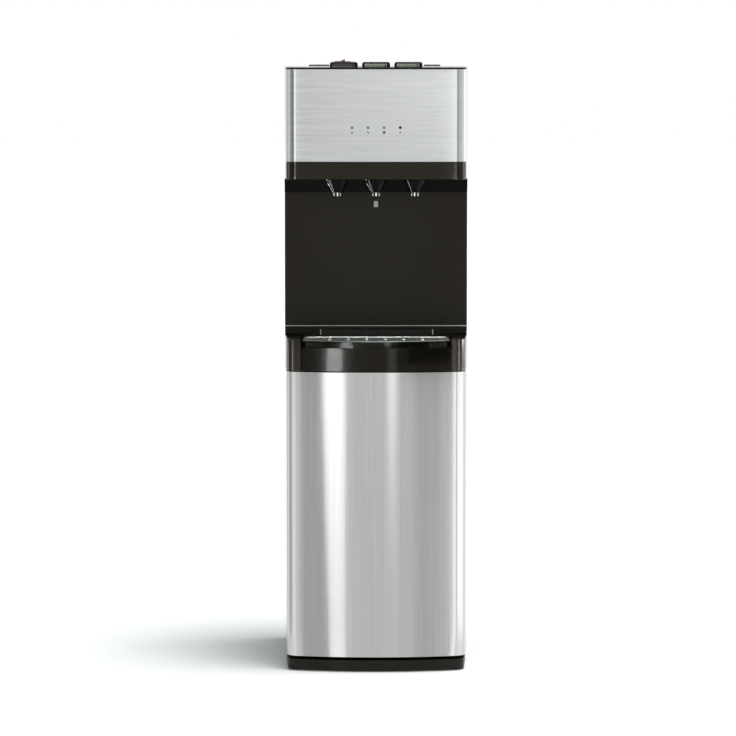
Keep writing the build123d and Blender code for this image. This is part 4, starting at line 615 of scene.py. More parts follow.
marks = {"z": 927.4, "front": -172.12, "rear": -171.9, "dropWide": 1.5, "dropHigh": 2.2, "dropLow": 0.4,
         "narrowing": 0.55, "holeWide": 0.45, "holeHigh": 0.5, "dot": 2.35, "faint": (3.0, 2.2, 0.8),
         "dash": ((-2.3, 1.2), (-1.2, 2.3), (2.3, -1.2), (1.2, -2.3))}


def markFrom(name, outline):
    return solidFrom(name, outline, marks["front"], marks["rear"], "y")


def dropOutline(wide=1.0, high=1.0):
    # a drop that narrows to its top, given as shares of its full size
    points = []
    for step in range(24):
        angle = 2 * math.pi * step / 24
        squeeze = 1.0 - marks["narrowing"] * max(0.0, math.sin(angle)) ** 2
        points.append((lensSpots[0] + wide * marks["dropWide"] * math.cos(angle) * squeeze,
                       marks["z"] - marks["dropLow"] + high * marks["dropHigh"] * math.sin(angle)))
    return points


dropRing = markFrom("dropRing", dropOutline())
cutAway(dropRing, solidFrom("dropHole", dropOutline(marks["holeWide"], marks["holeHigh"]), -174.0, -170.0, "y"))
dash = markFrom("dash", [(lensSpots[1] + x, marks["z"] + z) for x, z in marks["dash"]])
dot = markFrom("dot", arcPoints(lensSpots[2], marks["z"], marks["dot"], 0, 345, 23))
finished(joined("panelMarks", [dropRing, dash, dot]), "iconGrey", "gloss_black")
faintMark = markFrom("faintMark", roundedOutline(lensSpots[3], marks["z"], *marks["faint"], 4))
finished(faintMark, "iconFaint", "gloss_black")
print("marks done")

# top cover with its raised middle, its two rear ribs and the three wells

cover = {"low": 1035.0, "high": 1038.0, "edge": 0.35, "lowEdge": 0.3, "wellEdge": 0.4,
         "middleHalf": 119.5, "middleFront": -65.0, "middleRear": 153.0, "middleCorner": 20.0, "slope": 4.33,
         "riseFront": 0.3, "riseRear": 0.8, "ribs": ((-119.0, -83.0), (86.0, 115.2)), "ribFront": 124.0,
         "ribTop": 1040.5, "ribCorner": 4.0, "ribEdge": 0.15, "skirtOuter": 3.9, "skirtInner": 5.9,
         "skirtLow": 1026.0, "innerTop": 1036.0, "sideRibX": 155.5, "sideRibY": 44.0, "sideRibLength": 198.0}
well = {"width": 48.6, "depth": 50.8, "corner": 5.4, "wall": 2.0, "low": 1020.0, "pitch": 55.3, "y": -130.0}


def coverOutline():
    corner, half, backY = cabinet["rearCorner"], cabinet["halfWidth"], cabinet["backY"]
    rear = arcPoints(half - corner, backY - corner, corner, 90, 0, 5)
    return mirrored([(0.0, backY)] + rear + halfOutline(False))[:-1]


def wellBlock(name, place, low, high, wall=0.0, steps=8):
    return block(name, place * well["pitch"], well["y"], well["width"] + 2 * wall, well["depth"] + 2 * wall,
                 well["corner"] + wall, low, high, steps)


coverPlate = solidFrom("coverPlate", coverOutline(), cover["low"], cover["high"])
bevelWhere(coverPlate, nearTop(cover["high"]), cover["edge"])
bevelWhere(coverPlate, lambda spot: spot.z < cover["low"] + 0.1, cover["lowEdge"], 1)
middleY = (cover["middleFront"] + cover["middleRear"]) / 2
depthY = cover["middleRear"] - cover["middleFront"]
plateau = block("plateau", 0, middleY, 2 * cover["middleHalf"], depthY, cover["middleCorner"],
                cover["high"] - 0.8, cover["ribTop"], 12)
for vertex in plateau.data.vertices:
    # the sides lean in, and the top rises to the rear
    if vertex.co.z * 1000 > cover["ribTop"] - 0.1:
        vertex.co.x *= 1 - cover["slope"] / cover["middleHalf"]
        vertex.co.y = middleY / 1000 + (vertex.co.y - middleY / 1000) * (1 - cover["slope"] / (depthY / 2))
        share = (vertex.co.y * 1000 - cover["middleFront"]) / depthY
        rise = cover["riseFront"] + (cover["riseRear"] - cover["riseFront"]) * share
        vertex.co.z = (cover["high"] + rise) / 1000
ribDepth = cover["middleRear"] - cover["slope"] - cover["ribFront"]
raised = [plateau]
for left, right in cover["ribs"]:
    rib = block("rearRib", (left + right) / 2, cover["ribFront"] + ribDepth / 2, right - left, ribDepth,
                cover["ribCorner"], cover["high"] - 0.5, cover["ribTop"], 6)
    raised.append(bevelWhere(rib, nearTop(cover["ribTop"]), cover["ribEdge"], 1))
plateau = joined("plateau", raised)
skirt = solidFrom("skirt", wrapOutline(False, cover["skirtOuter"], cover["skirtInner"], 10.0),
                  cover["skirtLow"], cover["innerTop"])
wells = [wellBlock("well", place, well["low"], cover["innerTop"], well["wall"], 6) for place in (-1, 0, 1)]
sideRibs = [block("rib", side * cover["sideRibX"], cover["sideRibY"], 2.0, cover["sideRibLength"], 0.5,
                  cover["skirtLow"], cover["innerTop"], 2) for side in (-1, 1)]
for place in (-1, 0, 1):
    for cut in (coverPlate, wells[place + 1]):
        cutAway(cut, wellBlock("opening", place, 1010.0, 1045.0))
bevelWhere(coverPlate, lambda spot: spot.z > cover["high"] - 0.1 and abs(spot.x) < 85 and spot.y > -158,
           cover["wellEdge"])
topCover = joined("topCover", [coverPlate, plateau, skirt] + wells + sideRibs)
finished(topCover, "coverBlack", "cover_black", "top_cover")
print("top cover done")

# buttons: black caps, each with a grey face set into its front

button = {"low": 1030.0, "high": 1047.0, "width": 47.8, "depth": 50.0, "corner": 4.6, "bevel": 3.3, "wall": 3.5,
          "hollowCorner": 3.0, "bossRadius": 6.0, "bossPitch": 62.0, "frontY": -155.0, "proud": 0.25,
          "faceLow": 1038.1, "faceSplit": 1039.6, "faceHigh": 1043.7, "faceRuns": ((-20.0, 14.6), (15.8, 18.4)),
          "trackX": -57.4, "trackYs": (-142.3, -117.7), "trackLength": 28.0, "trackWidth": 1.6}
for place, label in ((-1, "hot"), (0, "cold"), (1, "room")):
    middleX, body = place * well["pitch"], label + "_press"
    width, depth, low, high = (button[size] for size in ("width", "depth", "low", "high"))
    cap = block(label + "Cap", middleX, well["y"], width, depth, button["corner"], low, high)
    bevelWhere(cap, nearTop(high), button["bevel"])
    cutAway(cap, block("hollow", middleX, well["y"], width - 2 * button["wall"], depth - 2 * button["wall"],
                       button["hollowCorner"], low - 1, high - 2, 4))
    bossProfile = [(button["bossRadius"], low), (button["bossRadius"], high - 1.5)]
    pieces = [cap, turnedFrom("boss", bossProfile, place * button["bossPitch"], well["y"], 24)]
    if label == "hot":
        pieces += [block("track", button["trackX"], trackY, button["trackLength"], button["trackWidth"], 0.5,
                         high - 0.2, high + 1.0, 3, 0.2) for trackY in button["trackYs"]]
    capWhole = joined(label + "ButtonCap", pieces)
    finished(capWhole, "buttonBlack", "button_grey", label + "_button", body=body)
    faces = []
    for low, high in ((button["faceLow"], button["faceSplit"] - 0.1),
                      (button["faceSplit"] + 0.1, button["faceHigh"])):
        for left, right in button["faceRuns"]:
            corners = ((left, low), (right, low), (right, high), (left, high))
            plate = solidFrom("plate", [(middleX + x, z) for x, z in corners],
                              button["frontY"] - button["proud"], button["frontY"] + 0.5, "y")
            faces.append(bevelWhere(plate, lambda spot: spot.y < button["frontY"] - 0.2, 0.18, 1))
    face = joined(label + "ButtonFace", faces)
    finished(face, "buttonGrey", "button_grey", body=body)
    if label == "hot":
        repaint(capWhole, "trackRed", lambda spot: spot.z > button["high"] + 0.05)
        repaint(face, "hotFace", lambda spot: spot.z > button["faceSplit"])
lockSlider = dressedCopy("child_lock_slider", "lockSlider", 0.25)
finished(lockSlider, "lockRed", "lock_red", "child_lock_slider", body="child_lock")
print("buttons done")

# taps and their bright rings

tap = {"y": -130.0, "pitch": 66.7, "nutRadius": 17.3, "nutLow": 850.3, "nutHigh": 856.3, "barbZ": 866.3}
tapProfile = [(8.6, 823.4), (9.0, 823.8), (9.0, 824.3), (9.25, 824.9), (20.9, 844.4), (21.4, 844.9), (22.0, 845.4),
              (22.0, 846.7), (11.0, 846.7), (11.0, 856.3), (14.0, 856.3), (14.0, 876.3), (8.0, 876.3), (8.0, 885.3)]
barbProfile = [(4.0, -130.0), (4.0, -104.0), (4.6, -104.0), (4.0, -100.0)]
ringProfile = [(5.0, 819.6), (5.0, 817.0), (5.3, 816.65), (6.9, 816.6), (7.5, 816.85), (7.8, 817.3), (7.8, 823.2),
               (7.5, 823.5), (6.5, 823.7)]
tapParts, ringParts = [], []
for place in (-1, 0, 1):
    x, y = place * tap["pitch"], tap["y"]
    tapParts += [turnedFrom("tap", tapProfile, x, y, 64),
                 solidFrom("nut", arcPoints(x, y, tap["nutRadius"], 30, 330, 5), tap["nutLow"], tap["nutHigh"]),
                 turnedFrom("barb", barbProfile, x, tap["barbZ"], 24, "y")]
    ringParts.append(turnedFrom("ring", ringProfile, x, y, 64))
finished(joined("tapBodies", tapParts), "tapBlack", "satin_black", "taps")
rings = joined("spoutRings", ringParts)
finished(rings, "brightRing", "bright_ring", "tap_spouts")
repaint(rings, "tapBlack", lambda spot: not 817.3 < spot.z < 823.2)
print("taps done")

# dispensing bay and night light

bayPanel = dressedCopy("bay_panel", "bayPanel", 0.3)
finished(bayPanel, "bayBlack", "satin_black", "bay_panel")
# the riser under the head is painted darker than the bay wall: painted shade of the head's overhang
repaint(bayPanel, "riserPaintedShade", lambda spot: spot.z > 821.0)
# a light grey line on the bay wall's ridge: a painted highlight of the ridge's lit edge
seam = {"low": 588.9, "high": 590.3, "half": 157.2, "frontY": -80.8, "depth": 0.9}
seamLine = block("seamLine", 0, seam["frontY"] + seam["depth"] / 2, 2 * seam["half"], seam["depth"], 0.2,
                 seam["low"], seam["high"], 2, 0.15)
finished(seamLine, "paintedHighlightGrey", "satin_black")
# a thin strip in front of the bay wall stands for the well's rear wall; its dark green-grey is a painted reflection
# of the grille
wellWall = {"middleX": 1.2, "half": 96.8, "low": 571.0, "high": 582.6, "front": -85.2, "rear": -82.6,
          "corner": 0.6, "edge": 0.2, "endWidth": 1.9, "endDepth": 1.6, "endCorner": 0.5}
splashStrip = block("splashStrip", wellWall["middleX"], (wellWall["front"] + wellWall["rear"]) / 2, 2 * wellWall["half"],
                    wellWall["rear"] - wellWall["front"], wellWall["corner"], wellWall["low"], wellWall["high"], 4,
                    wellWall["edge"])
finished(splashStrip, "grilleReflectionGrey", "satin_black")
# two light grey posts at the well's rear corners: painted highlights of the corners' rounded fillets
splashEnds = [block("splashEnd", wellWall["middleX"] + side * (wellWall["half"] + 0.4), wellWall["front"],
                    wellWall["endWidth"], wellWall["endDepth"], wellWall["endCorner"], wellWall["low"],
                    wellWall["high"] + 1.0, 4, wellWall["edge"]) for side in (-1, 1)]
finished(joined("splashEnds", splashEnds), "paintedHighlightGrey", "satin_black")
nightLight = dressedCopy("night_light_lens", "nightLight", 0.2)
finished(nightLight, "lensWhite", "lens_white", "night_light_lens")
lensFront = min(vertex.co.y for vertex in nightLight.data.vertices) * 1000
repaint(nightLight, "bayBlack", lambda spot: spot.y > lensFront + 0.05)
print("bay done")

# ledge: two side rails round the tray well

ledge = {"low": 519.0, "high": 574.5, "wellHalf": 129.2, "wellRear": -88.0, "wellCorner": 18.5, "floorTop": 522.0,
         "outerEdge": 1.4, "wellEdge": 0.5, "flangeY": -80.2, "flangeWidth": 315.9, "flangeDepth": 6.5}


def ledgeOutline():
    half, corner = ledge["wellHalf"], ledge["wellCorner"]
    outer = [spot for spot in halfOutline(True) if spot[0] > half + 0.5]
    inner = [(half, bowCentreY - math.sqrt(bowRadius ** 2 - half * half))]
    inner += arcPoints(half - corner, ledge["wellRear"] - corner, corner, 0, 90, 10)
    return mirrored(outer + inner + [(0.0, ledge["wellRear"])])


rails = solidFrom("rails", ledgeOutline(), ledge["low"], ledge["high"])
bevelWhere(rails, lambda spot: spot.z > ledge["high"] - 0.1 and (abs(spot.x) > 131.0 or spot.y < -170.0),
           ledge["outerEdge"], 4)
bevelWhere(rails, lambda spot: spot.z > ledge["high"] - 0.1 and abs(spot.x) < 130.0 and spot.y > -170.0,
           ledge["wellEdge"])
floorPlate = solidFrom("floorPlate", [(x, y) for x, y in frontOutline(True, 3.8, 4.0) if abs(x) < 136.0],
                       ledge["low"], ledge["floorTop"])
flange = block("flange", 0, ledge["flangeY"], ledge["flangeWidth"], ledge["flangeDepth"], 0.5, ledge["low"],
               ledge["high"] + 1.0, 2)
finished(joined("ledgeRails", [rails, floorPlate, flange]), "railBlack", "satin_black", "ledge")
print("ledge done")

# drip tray: apron between the rails, and a rim whose front is bowed more tightly

tray = {"half": 128.7, "rear": -88.5, "corner": 18.0, "wall": 3.0, "low": 519.3, "floor": 527.0, "underside": 524.0,
        "lip": 559.6, "rim": 570.3, "seat": 568.5, "seatWidth": 1.4, "relief": 1.0, "lipRadius": 330.0,
        "apronEdge": 0.5, "lipEdge": 0.7, "runnerX": 60.0, "runnerY": -134.0, "runnerLow": 522.3,
        "runnerHigh": 525.0, "runnerWidth": 6.0, "runnerLength": 76.0}


def trayOutline(inset=0.0, tight=False):
    half, corner = tray["half"] - inset, tray["corner"] - inset
    if tight:
        radius = tray["lipRadius"] - inset
        centreY = noseTip + tray["lipRadius"]
    else:
        radius, centreY = bowRadius - inset, bowCentreY
    edge = math.degrees(math.asin(half / radius))
    front = arcPoints(0, centreY, radius, -90 + edge, -90, 40)
    rear = arcPoints(tray["half"] - tray["corner"], tray["rear"] - tray["corner"], corner, 90, 0, 10)
    return mirrored([(0.0, tray["rear"] - inset)] + rear + front)[:-1]


outerApron = solidFrom("apron", trayOutline(tray["relief"]), tray["low"], tray["lip"])
cutAway(outerApron, solidFrom("under", trayOutline(tray["wall"] + 0.2), tray["low"] - 5, tray["underside"]))
bevelWhere(outerApron, everyEdge, tray["apronEdge"], 3)
lip = bevelled("lip", trayOutline(0.0, True), tray["lip"] - 0.2, tray["rim"], tray["lipEdge"], 3)
for shell in (outerApron, lip):
    cutAway(shell, solidFrom("room", trayOutline(tray["wall"], True), tray["floor"], tray["rim"] + 5))
cutAway(lip, solidFrom("seat", trayOutline(tray["wall"] - tray["seatWidth"], True), tray["seat"], tray["rim"] + 5))
runners = [block("runner", side * tray["runnerX"], tray["runnerY"], tray["runnerWidth"], tray["runnerLength"],
                 1.0, tray["runnerLow"], tray["runnerHigh"], 3, 0.4, 2) for side in (-1, 1)]
trayWhole = joined("dripTray", [outerApron, lip] + runners)
finished(trayWhole, "apronBlack", "gloss_black", "drip_tray", body="tray")
repaint(trayWhole, "lipBlack", lambda spot: spot.z > tray["lip"] - 0.1 and spot.y < -150.0)
print("drip tray done")

# grille: stamped plate with rounded slots, dimples and a rolled edge

grille = {"low": 568.8, "high": 570.3, "edge": 0.45, "inset": 1.9, "middleY": -140.0, "pitchX": 32.0,
          "pitchY": 11.0, "columns": 7, "rows": 7, "slotLength": 27.0, "slotWidth": 5.0, "slotCorner": 2.45,
          "slotEdge": 0.3, "rimWidth": 1.8, "rimRise": 1.1, "rimEdge": 0.55}
plate = solidFrom("grillePlate", trayOutline(grille["inset"], True), grille["low"], grille["high"])
bevelWhere(plate, nearTop(grille["high"]), grille["edge"], 3)
slotMoves = [((column - 3) * grille["pitchX"], grille["middleY"] + (row - 3) * grille["pitchY"], 0)
             for column in range(grille["columns"]) for row in range(grille["rows"])]
slot = block("slot", 0, 0, grille["slotLength"], grille["slotWidth"], grille["slotCorner"], 560.0, 575.0, 5)
cutAway(plate, copiesOf(slot, slotMoves, "slots"))
bevelWhere(plate, lambda spot: spot.z > grille["high"] - 0.05, grille["slotEdge"])
# the dimples are near white steel: painted highlights on the grille
dimple = turnedFrom("dimple", [(2.3, 570.2), (2.15, 570.6), (1.7, 571.05), (1.0, 571.38), (0.3, 571.5)], 0, 0, 20)
dimpleMoves = [((step - 2.5) * grille["pitchX"], grille["middleY"], 0) for step in range(6)]
dimples = copiesOf(dimple, dimpleMoves, "grilleDimples")
plate.name = plate.data.name = "dripGrille"
finished(plate, "grilleSteel", "grille_steel", "drip_grille", body="grille")
finished(dimples, "paintedHighlightSteel", "grille_steel", body="grille")
rim = solidFrom("grilleRim", trayOutline(grille["inset"] + 0.1, True), grille["high"] - 0.2,
                grille["high"] + grille["rimRise"])
cutAway(rim, solidFrom("inside", trayOutline(grille["inset"] + 0.1 + grille["rimWidth"], True), 560.0, 580.0))
bevelWhere(rim, nearTop(grille["high"] + grille["rimRise"]), grille["rimEdge"], 3)
finished(rim, "rimSteel", "grille_steel", body="grille")
# the rim's rear edge is painted near white: a painted highlight
repaint(rim, "paintedHighlightSteel", lambda spot: spot.y > -96.0)
print("grille done")

# condenser on the rear, and the case screws

condenser = {"y": 188.85, "tube": 2.5, "low": 282.0, "pitch": 46.0, "runs": 13, "half": 118.0, "riserX": 136.0,
             "pipeZ": 258.0, "innerY": 150.7, "wire": 0.8, "wirePitch": 14.75, "lift": 3.35}
riserX, top = condenser["riserX"], condenser["low"] + (condenser["runs"] - 1) * condenser["pitch"]


def onRear(x, z):
    return (x, condenser["y"], z)


route = [(riserX, condenser["innerY"], condenser["pipeZ"]), onRear(riserX, condenser["pipeZ"]), onRear(riserX, top)]
side = -1
for run in range(condenser["runs"]):
    z = top - run * condenser["pitch"]
    if run:
        route.append(onRear(-side * condenser["half"], z))
    route.append(onRear(side * condenser["half"], z))
    side = -side
route[-1] = onRear(-riserX, condenser["low"])
route += [onRear(-riserX, condenser["pipeZ"]), (-riserX, condenser["innerY"], condenser["pipeZ"])]


def condenserBend(corner):
    if corner.z < 270:
        return 9.0
    return 11.0 if abs(corner.x) > 130 else condenser["pitch"] / 2 - 0.1


condenserTube = tubeAlong("condenserTube", route, condenser["tube"], condenserBend, 16)
finished(condenserTube, "compressorPaint", "compressor_black", "condenser_tube", degrees=50)
wireCount = int(2 * (condenser["half"] - condenser["pitch"] / 2) / condenser["wirePitch"]) + 1
wireTip = condenser["wire"] * 0.6
wire = turnedFrom("wire", [(wireTip, condenser["low"] - 10.0), (condenser["wire"], condenser["low"] - 9.6),
                           (condenser["wire"], top + 9.6), (wireTip, top + 10.0)], 0, 0, 10)
wireMoves = [((step - (wireCount - 1) / 2) * condenser["wirePitch"], condenser["y"] + lift, 0)
             for lift in (-condenser["lift"], condenser["lift"]) for step in range(wireCount)]
condenserWires = copiesOf(wire, wireMoves, "condenserWires")
finished(condenserWires, "compressorPaint", "compressor_black", "condenser_wires", degrees=60)

screws = {"x": 150.0, "heights": (36.0, 184.0, 216.0, 617.35, 1018.7), "hexRadius": 3.7, "hexLow": 168.4,
          "hexHigh": 170.2, "hexEdge": 0.25}
screw = joined("screw", [
    turnedFrom("washer", [(4.4, 168.0), (4.4, 168.35), (4.0, 168.6)], 0, 0, 32, "y"),
    bevelled("hexHead", arcPoints(0, 0, screws["hexRadius"], 0, 300, 5), screws["hexLow"], screws["hexHigh"],
             screws["hexEdge"], 2, "y"),
    turnedFrom("shank", [(1.7, 168.1), (1.7, 162.0), (0.6, 161.0)], 0, 0, 16, "y")])
screwMoves = [(side * screws["x"], 0, z) for side in (-1, 1) for z in screws["heights"]]
finished(copiesOf(screw, screwMoves, "caseScrews"), "screwZinc", "screw_steel", "panel_screws")
print("rear done")

# parts whose edges are only broken

brokenEdges = {
    "base": ("baseTray", "cabinet", "satin_black", 0.5),
    "door_liner": ("doorLiner", "door", "satin_black", 0.4),
    "switch_plate": ("switchPlate", "cabinet", "satin_black", 0.3),
    "night_light_rocker": ("nightRocker", "night_light_switch", "gloss_black", 0.4),
    "hot_rocker": ("hotRocker", "hot_switch", "gloss_black", 0.4),
    "cold_rocker": ("coldRocker", "cold_switch", "gloss_black", 0.4),
    "hot_drain_cap": ("hotCap", "hot_cap", "satin_black", 0.3),
    "cold_drain_cap": ("coldCap", "cold_cap", "satin_black", 0.3),
    "relay_cover": ("relayCover", "cabinet", "satin_black", 1.0),
    "filter_manifold": ("filterManifold", "cabinet", "white_plastic", 0.6),
    "sediment_filter": ("sedimentFilter", "sediment_cartridge", "white_plastic", 0.4),
    "carbon_filter": ("carbonFilter", "carbon_cartridge", "blue_plastic", 0.4),
}
for nodeName, (name, body, slotName, width) in brokenEdges.items():
    finished(dressedCopy(nodeName, name, width), nodeFinish[nodeName], slotName, nodeName, body=body)
print("broken edges done")

# room, light and camera

room = {"floorSize": 60.0, "floorColour": (0.80, 0.80, 0.80), "floorGlow": 0.08, "ambient": (0.89, 0.97, 0.98),
        "ambientStrength": 0.40}
deselectAll()
bpy.ops.mesh.primitive_plane_add(size=room["floorSize"], location=(0, 0, 0))
floor = bpy.context.object
floor.name = "studioFloor"


def seenDirectly(tree):
    # 1 for what the camera, a gloss or a clear part shows, 0 for light on its way to a surface
    rays = addNode(tree, "ShaderNodeLightPath").outputs
    glossy = mathOf(tree, "MAXIMUM", rays["Is Camera Ray"], rays["Is Glossy Ray"])
    return mathOf(tree, "MAXIMUM", glossy, rays["Is Transmission Ray"])


floorMaterial, floorTree, floorShader = newMaterial("studioFloor")
feed(floorTree, floorShader, {
    "Base Color": (*room["floorColour"], 1), "Roughness": 0.9, "Specular IOR Level": 0.0,
    "Emission Color": (1, 1, 1, 1),
    "Emission Strength": mathOf(floorTree, "MULTIPLY", seenDirectly(floorTree), room["floorGlow"])})
floor.data.materials.append(floorMaterial)

world = bpy.data.worlds.new("studioWorld")
bpy.context.scene.world = world
world.use_nodes = True
worldTree = world.node_tree
worldTree.nodes.clear()
soft = addNode(worldTree, "ShaderNodeBackground", {"Color": (*room["ambient"], 1),
                                                   "Strength": room["ambientStrength"]})
plain = addNode(worldTree, "ShaderNodeBackground", {"Color": (1, 1, 1, 1), "Strength": 1.0})
mixed = addNode(worldTree, "ShaderNodeMixShader", {0: seenDirectly(worldTree), 1: soft.outputs[0],
                                                   2: plain.outputs[0]})
addNode(worldTree, "ShaderNodeOutputWorld", {"Surface": mixed.outputs[0]})


def newLamp(name, kind, place, target):
    lamp = bpy.data.lights.new(name, kind)
    lampObject = bpy.data.objects.new(name, lamp)
    addToScene(lampObject)
    lampObject.location = place
    lampObject.rotation_mode = "QUATERNION"
    lampObject.rotation_quaternion = (Vector(place) - Vector(target)).to_track_quat("Z", "Y")
    return lamp, lampObject


key = {"azimuth": 66.0, "elevation": 79.0, "distance": 4.0, "strength": 2.8, "softness": 23.0}
turn, rise = math.radians(key["azimuth"]), math.radians(key["elevation"])
towards = Vector((math.sin(turn) * math.cos(rise), -math.cos(turn) * math.cos(rise), math.sin(rise)))
keyLight = newLamp("keyLight", "SUN", towards * key["distance"], (0, 0, 0))[0]
keyLight.energy = key["strength"]
keyLight.angle = math.radians(key["softness"])

# studio cards that only gloss and metal see: a wall in front of the cooler, one at each side and one above
doorTop, doorGap = 0.535, 0.498
cardWalls = {
    # wall: its place, then bands of (low, high) with cards of (from, to, radiance) in them;
    # cards run along X in front and above, along Y at the sides
    "front": (-0.55, [
        (0.0, doorTop, [(-0.50, -0.43, 1.2), (-0.43, -0.355, 1.0), (-0.355, -0.345, 0.7), (-0.345, -0.325, 0.95),
                        (-0.124, 0.046, 0.76)]),
        (0.0, doorGap, [(0.082, 0.16, 0.74), (0.16, 0.27, 0.62), (0.27, 0.337, 0.72)]),
        (0.0, doorTop, [(0.337, 0.352, 2.5), (0.352, 0.43, 0.85), (0.43, 0.50, 1.25)]),
        (doorGap, doorTop, [(0.082, 0.13, 0.45), (0.13, 0.337, 0.14)]),
        (doorTop, 0.82, [(-0.50, -0.12, 0.05), (0.12, 0.50, 0.05)]),
        (0.83, 1.4, [(-0.225, -0.160, 2.4), (-0.50, -0.305, 0.34), (0.146, 0.166, 2.4), (0.168, 0.40, 0.62),
                     (-0.160, -0.120, 0.86)])]),
    "left": (-0.50, [
        (0.0, doorTop, [(-0.55, -0.40, 1.1), (-0.32, -0.24, 0.70), (-0.24, -0.15, 0.52), (-0.15, -0.07, 0.70),
                        (0.06, 0.40, 0.80)]),
        (doorTop, 0.82, [(-0.55, -0.21, 0.05), (-0.05, 0.10, 0.05)]),
        (0.83, 1.4, [(-0.55, -0.35, 0.42), (-0.35, -0.23, 0.85), (-0.08, 0.30, 0.82)])]),
    "right": (0.50, [
        (0.0, doorTop, [(-0.55, -0.09, 1.65), (-0.09, 0.02, 1.25), (0.02, 0.30, 1.1)]),
        (doorTop, 0.82, [(-0.55, -0.21, 0.05), (-0.05, 0.10, 0.05)]),
        (0.83, 1.4, [(-0.55, -0.42, 0.80), (-0.15, 0.50, 1.8)])]),
    "above": (1.90, [(-0.80, 0.30, [(-0.80, 0.80, 2.2)])]),
}
frontBands = cardWalls["front"][1]
# the door's two bright bands, which fade towards its foot, and the darker band left of them
for level in range(8):
    edge = -0.192 - 0.004 * level
    frontBands.append((doorTop * level / 8, doorTop * (level + 1) / 8, [
        (-0.325, edge, 0.54), (edge, -0.124, 1.40 + 0.08 * level),
        (0.046, 0.082, 0.80 + 0.70 * (level / 7) ** 1.6)]))
# a slow brightening towards the upper right of the fascia
fasciaCards = {"columns": 6, "rows": 4, "left": -0.120, "width": 0.0443, "low": 0.872, "height": 0.04}
for column in range(fasciaCards["columns"]):
    for row in range(fasciaCards["rows"]):
        across, up = (column + 0.5) / fasciaCards["columns"], (row + 0.5) / fasciaCards["rows"]
        low, high = (fasciaCards["low"] + fasciaCards["height"] * step for step in (row, row + 1))
        start, stop = (fasciaCards["left"] + fasciaCards["width"] * step for step in (column, column + 1))
        frontBands.append((low, high, [(start, stop, 1.0 + 0.14 * across + 0.04 * up + 0.18 * across * up)]))
# the door's bands on the floor too, closing in on the door, so that its foot shows them
cardWalls["floor"] = (0.0015, [(-0.55, -0.2, [card for low, high, cards in frontBands if low == 0.0
                                              for card in cards])])


def doorSpot(cardX):
    # where along the door the camera sees this part of the front wall
    low, high = -0.138, 0.138
    for step in range(40):
        x = (low + high) / 2
        turned = 2 * math.asin(x / 0.57) + (x + 0.0138) / 6.07
        low, high = (x, high) if x + 0.36 * math.tan(turned) < cardX else (low, x)
    return low


for wallName, (place, bands) in cardWalls.items():
    cards = [(low, high, *card) for low, high, inBand in bands for card in inBand]
    for number, (low, high, start, stop, radiance) in enumerate(cards):
        deselectAll()
        bpy.ops.mesh.primitive_plane_add(size=1)
        card = bpy.context.object
        card.name = "card_" + wallName + str(number)
        for vertex in card.data.vertices:
            along = start + (stop - start) * (vertex.co.x + 0.5)
            across = low + (high - low) * (vertex.co.y + 0.5)
            if wallName == "floor" and vertex.co.y > 0:
                along = doorSpot(start) + (doorSpot(stop) - doorSpot(start)) * (vertex.co.x + 0.5)
            vertex.co = {"front": (along, place, across), "above": (along, across, place),
                         "floor": (along, across, place)}.get(wallName, (place, along, across))
        cardMaterial, cardTree, cardShader = newMaterial(card.name)
        feed(cardTree, cardShader, {"Base Color": (0, 0, 0, 1), "Specular IOR Level": 0.0,
                                    "Emission Color": (1, 1, 1, 1), "Emission Strength": radiance})
        card.data.materials.append(cardMaterial)
        card.visible_camera = False
        card.visible_diffuse = False
        card.visible_shadow = False
        card.visible_transmission = False


# small lamps that put a glint on a few parts only

def addGlint(name, place, target, width, height, radiance, lit, colour=(1.0, 1.0, 1.0), diffuse=False):
    lamp, lampObject = newLamp(name, "AREA", place, target)
    lamp.shape = "RECTANGLE"
    lamp.color = colour
    lamp.size, lamp.size_y = width, height
    lamp.energy = radiance * math.pi * width * height
    lampObject.visible_camera = False
    lampObject.visible_diffuse = diffuse
    lampObject.visible_glossy = not diffuse
    receivers = bpy.data.collections.new(name)
    for pieceName in lit:
        receivers.objects.link(bpy.data.objects[pieceName])
    lampObject.light_linking.receiver_collection = receivers


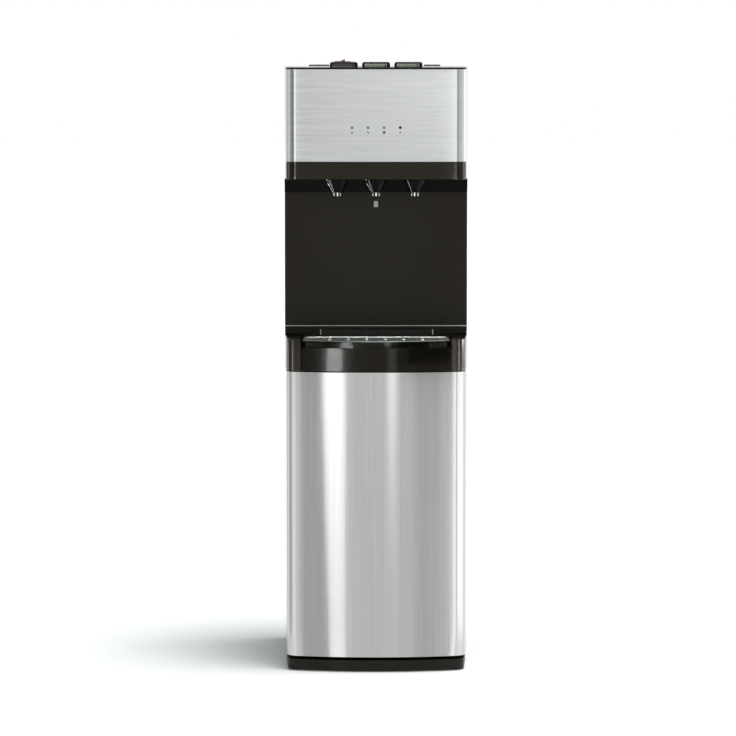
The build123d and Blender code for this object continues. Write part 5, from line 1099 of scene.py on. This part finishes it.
aimedGlints = {
    # name: place, aim, width, height, radiance
    "tapGlintOuter": ((-0.789, 0.224, 0.226), (-0.083, -0.140, 0.835), 0.06, 0.40, 45.0),
    "tapGlintInner": ((-0.638, -0.038, 0.190), (-0.014, -0.140, 0.835), 0.06, 0.40, 60.0),
    "tapEdgeLeft": ((-0.1150, -0.0885, 0.800), (-0.0840, -0.125, 0.838), 0.006, 0.03, 30.0),
    "tapEdgeMiddle": ((-0.0480, -0.0885, 0.800), (-0.0170, -0.125, 0.838), 0.006, 0.03, 18.0),
}
wallGlints = {
    # piece: the lamps' middle height, height and colour, then name: wall, place along it, width, radiance
    "dripTray": (0.500, 0.16, (0.71, 0.86, 1.0), {
        "trayGlintLeft": ("front", -0.168, 0.064, 165.0), "trayGlintMiddle": ("front", 0.064, 0.030, 9.0)}),
    "ledgeRails": (0.500, 0.16, (1.0, 1.0, 1.0), {
        "railGlintLeft": ("left", -0.435, 0.23, 6.0), "railGlintLeftFront": ("front", -0.335, 0.020, 10.0),
        "railGlintLeftRear": ("left", 0.075, 0.18, 4.0), "railGlintRight": ("right", -0.430, 0.10, 40.0),
        "railGlintRightFront": ("front", 0.343, 0.020, 30.0), "railGlintRightRear": ("right", -0.100, 0.14, 24.0),
        "railGlintRightEnd": ("right", 0.180, 0.42, 6.0)}),
    "headShell": (0.850, 0.12, (0.85, 0.92, 1.0), {
        "stripGlintLeft": ("front", -0.200, 0.060, 60.0), "stripGlintLeftRear": ("left", -0.130, 0.20, 2.5),
        "stripGlintRight": ("front", 0.156, 0.020, 34.0), "stripGlintRightRear": ("right", -0.050, 0.30, 7.0)}),
}
for name, (place, target, width, height, radiance) in aimedGlints.items():
    addGlint(name, place, target, width, height, radiance, ["tapBodies"])
for pieceName, (middle, height, colour, lamps) in wallGlints.items():
    for name, (wallName, along, width, radiance) in lamps.items():
        wall = cardWalls[wallName][0]
        place, target = (wall, along, middle), (0.0, along, middle)
        if wallName == "front":
            place, target = (along, wall, middle), (along, 0.0, middle)
        addGlint(name, place, target, width, height, radiance, [pieceName], colour)
addGlint("grilleGlow", (0.0, -0.500, 0.800), (0.0, -0.100, 0.571), 0.30, 0.10, 22.0,
         ["grilleRim", "grilleDimples"], diffuse=True)

cameraSettings = {"place": (-0.01384, -6.26511, 1.08766), "pitch": 4.8108, "lens": 174.653, "shift": -0.04}
cameraData = bpy.data.cameras.new("photoCamera")
cameraData.sensor_width = 36.0
cameraData.lens = cameraSettings["lens"]
cameraData.shift_y = cameraSettings["shift"]
cameraData.clip_end = 100.0
camera = bpy.data.objects.new("photoCamera", cameraData)
addToScene(camera)
camera.location = cameraSettings["place"]
camera.rotation_euler = (math.radians(90 - cameraSettings["pitch"]), 0, 0)
bpy.context.scene.camera = camera
bpy.context.scene.view_settings.view_transform = "Standard"
print("room, light and camera done")
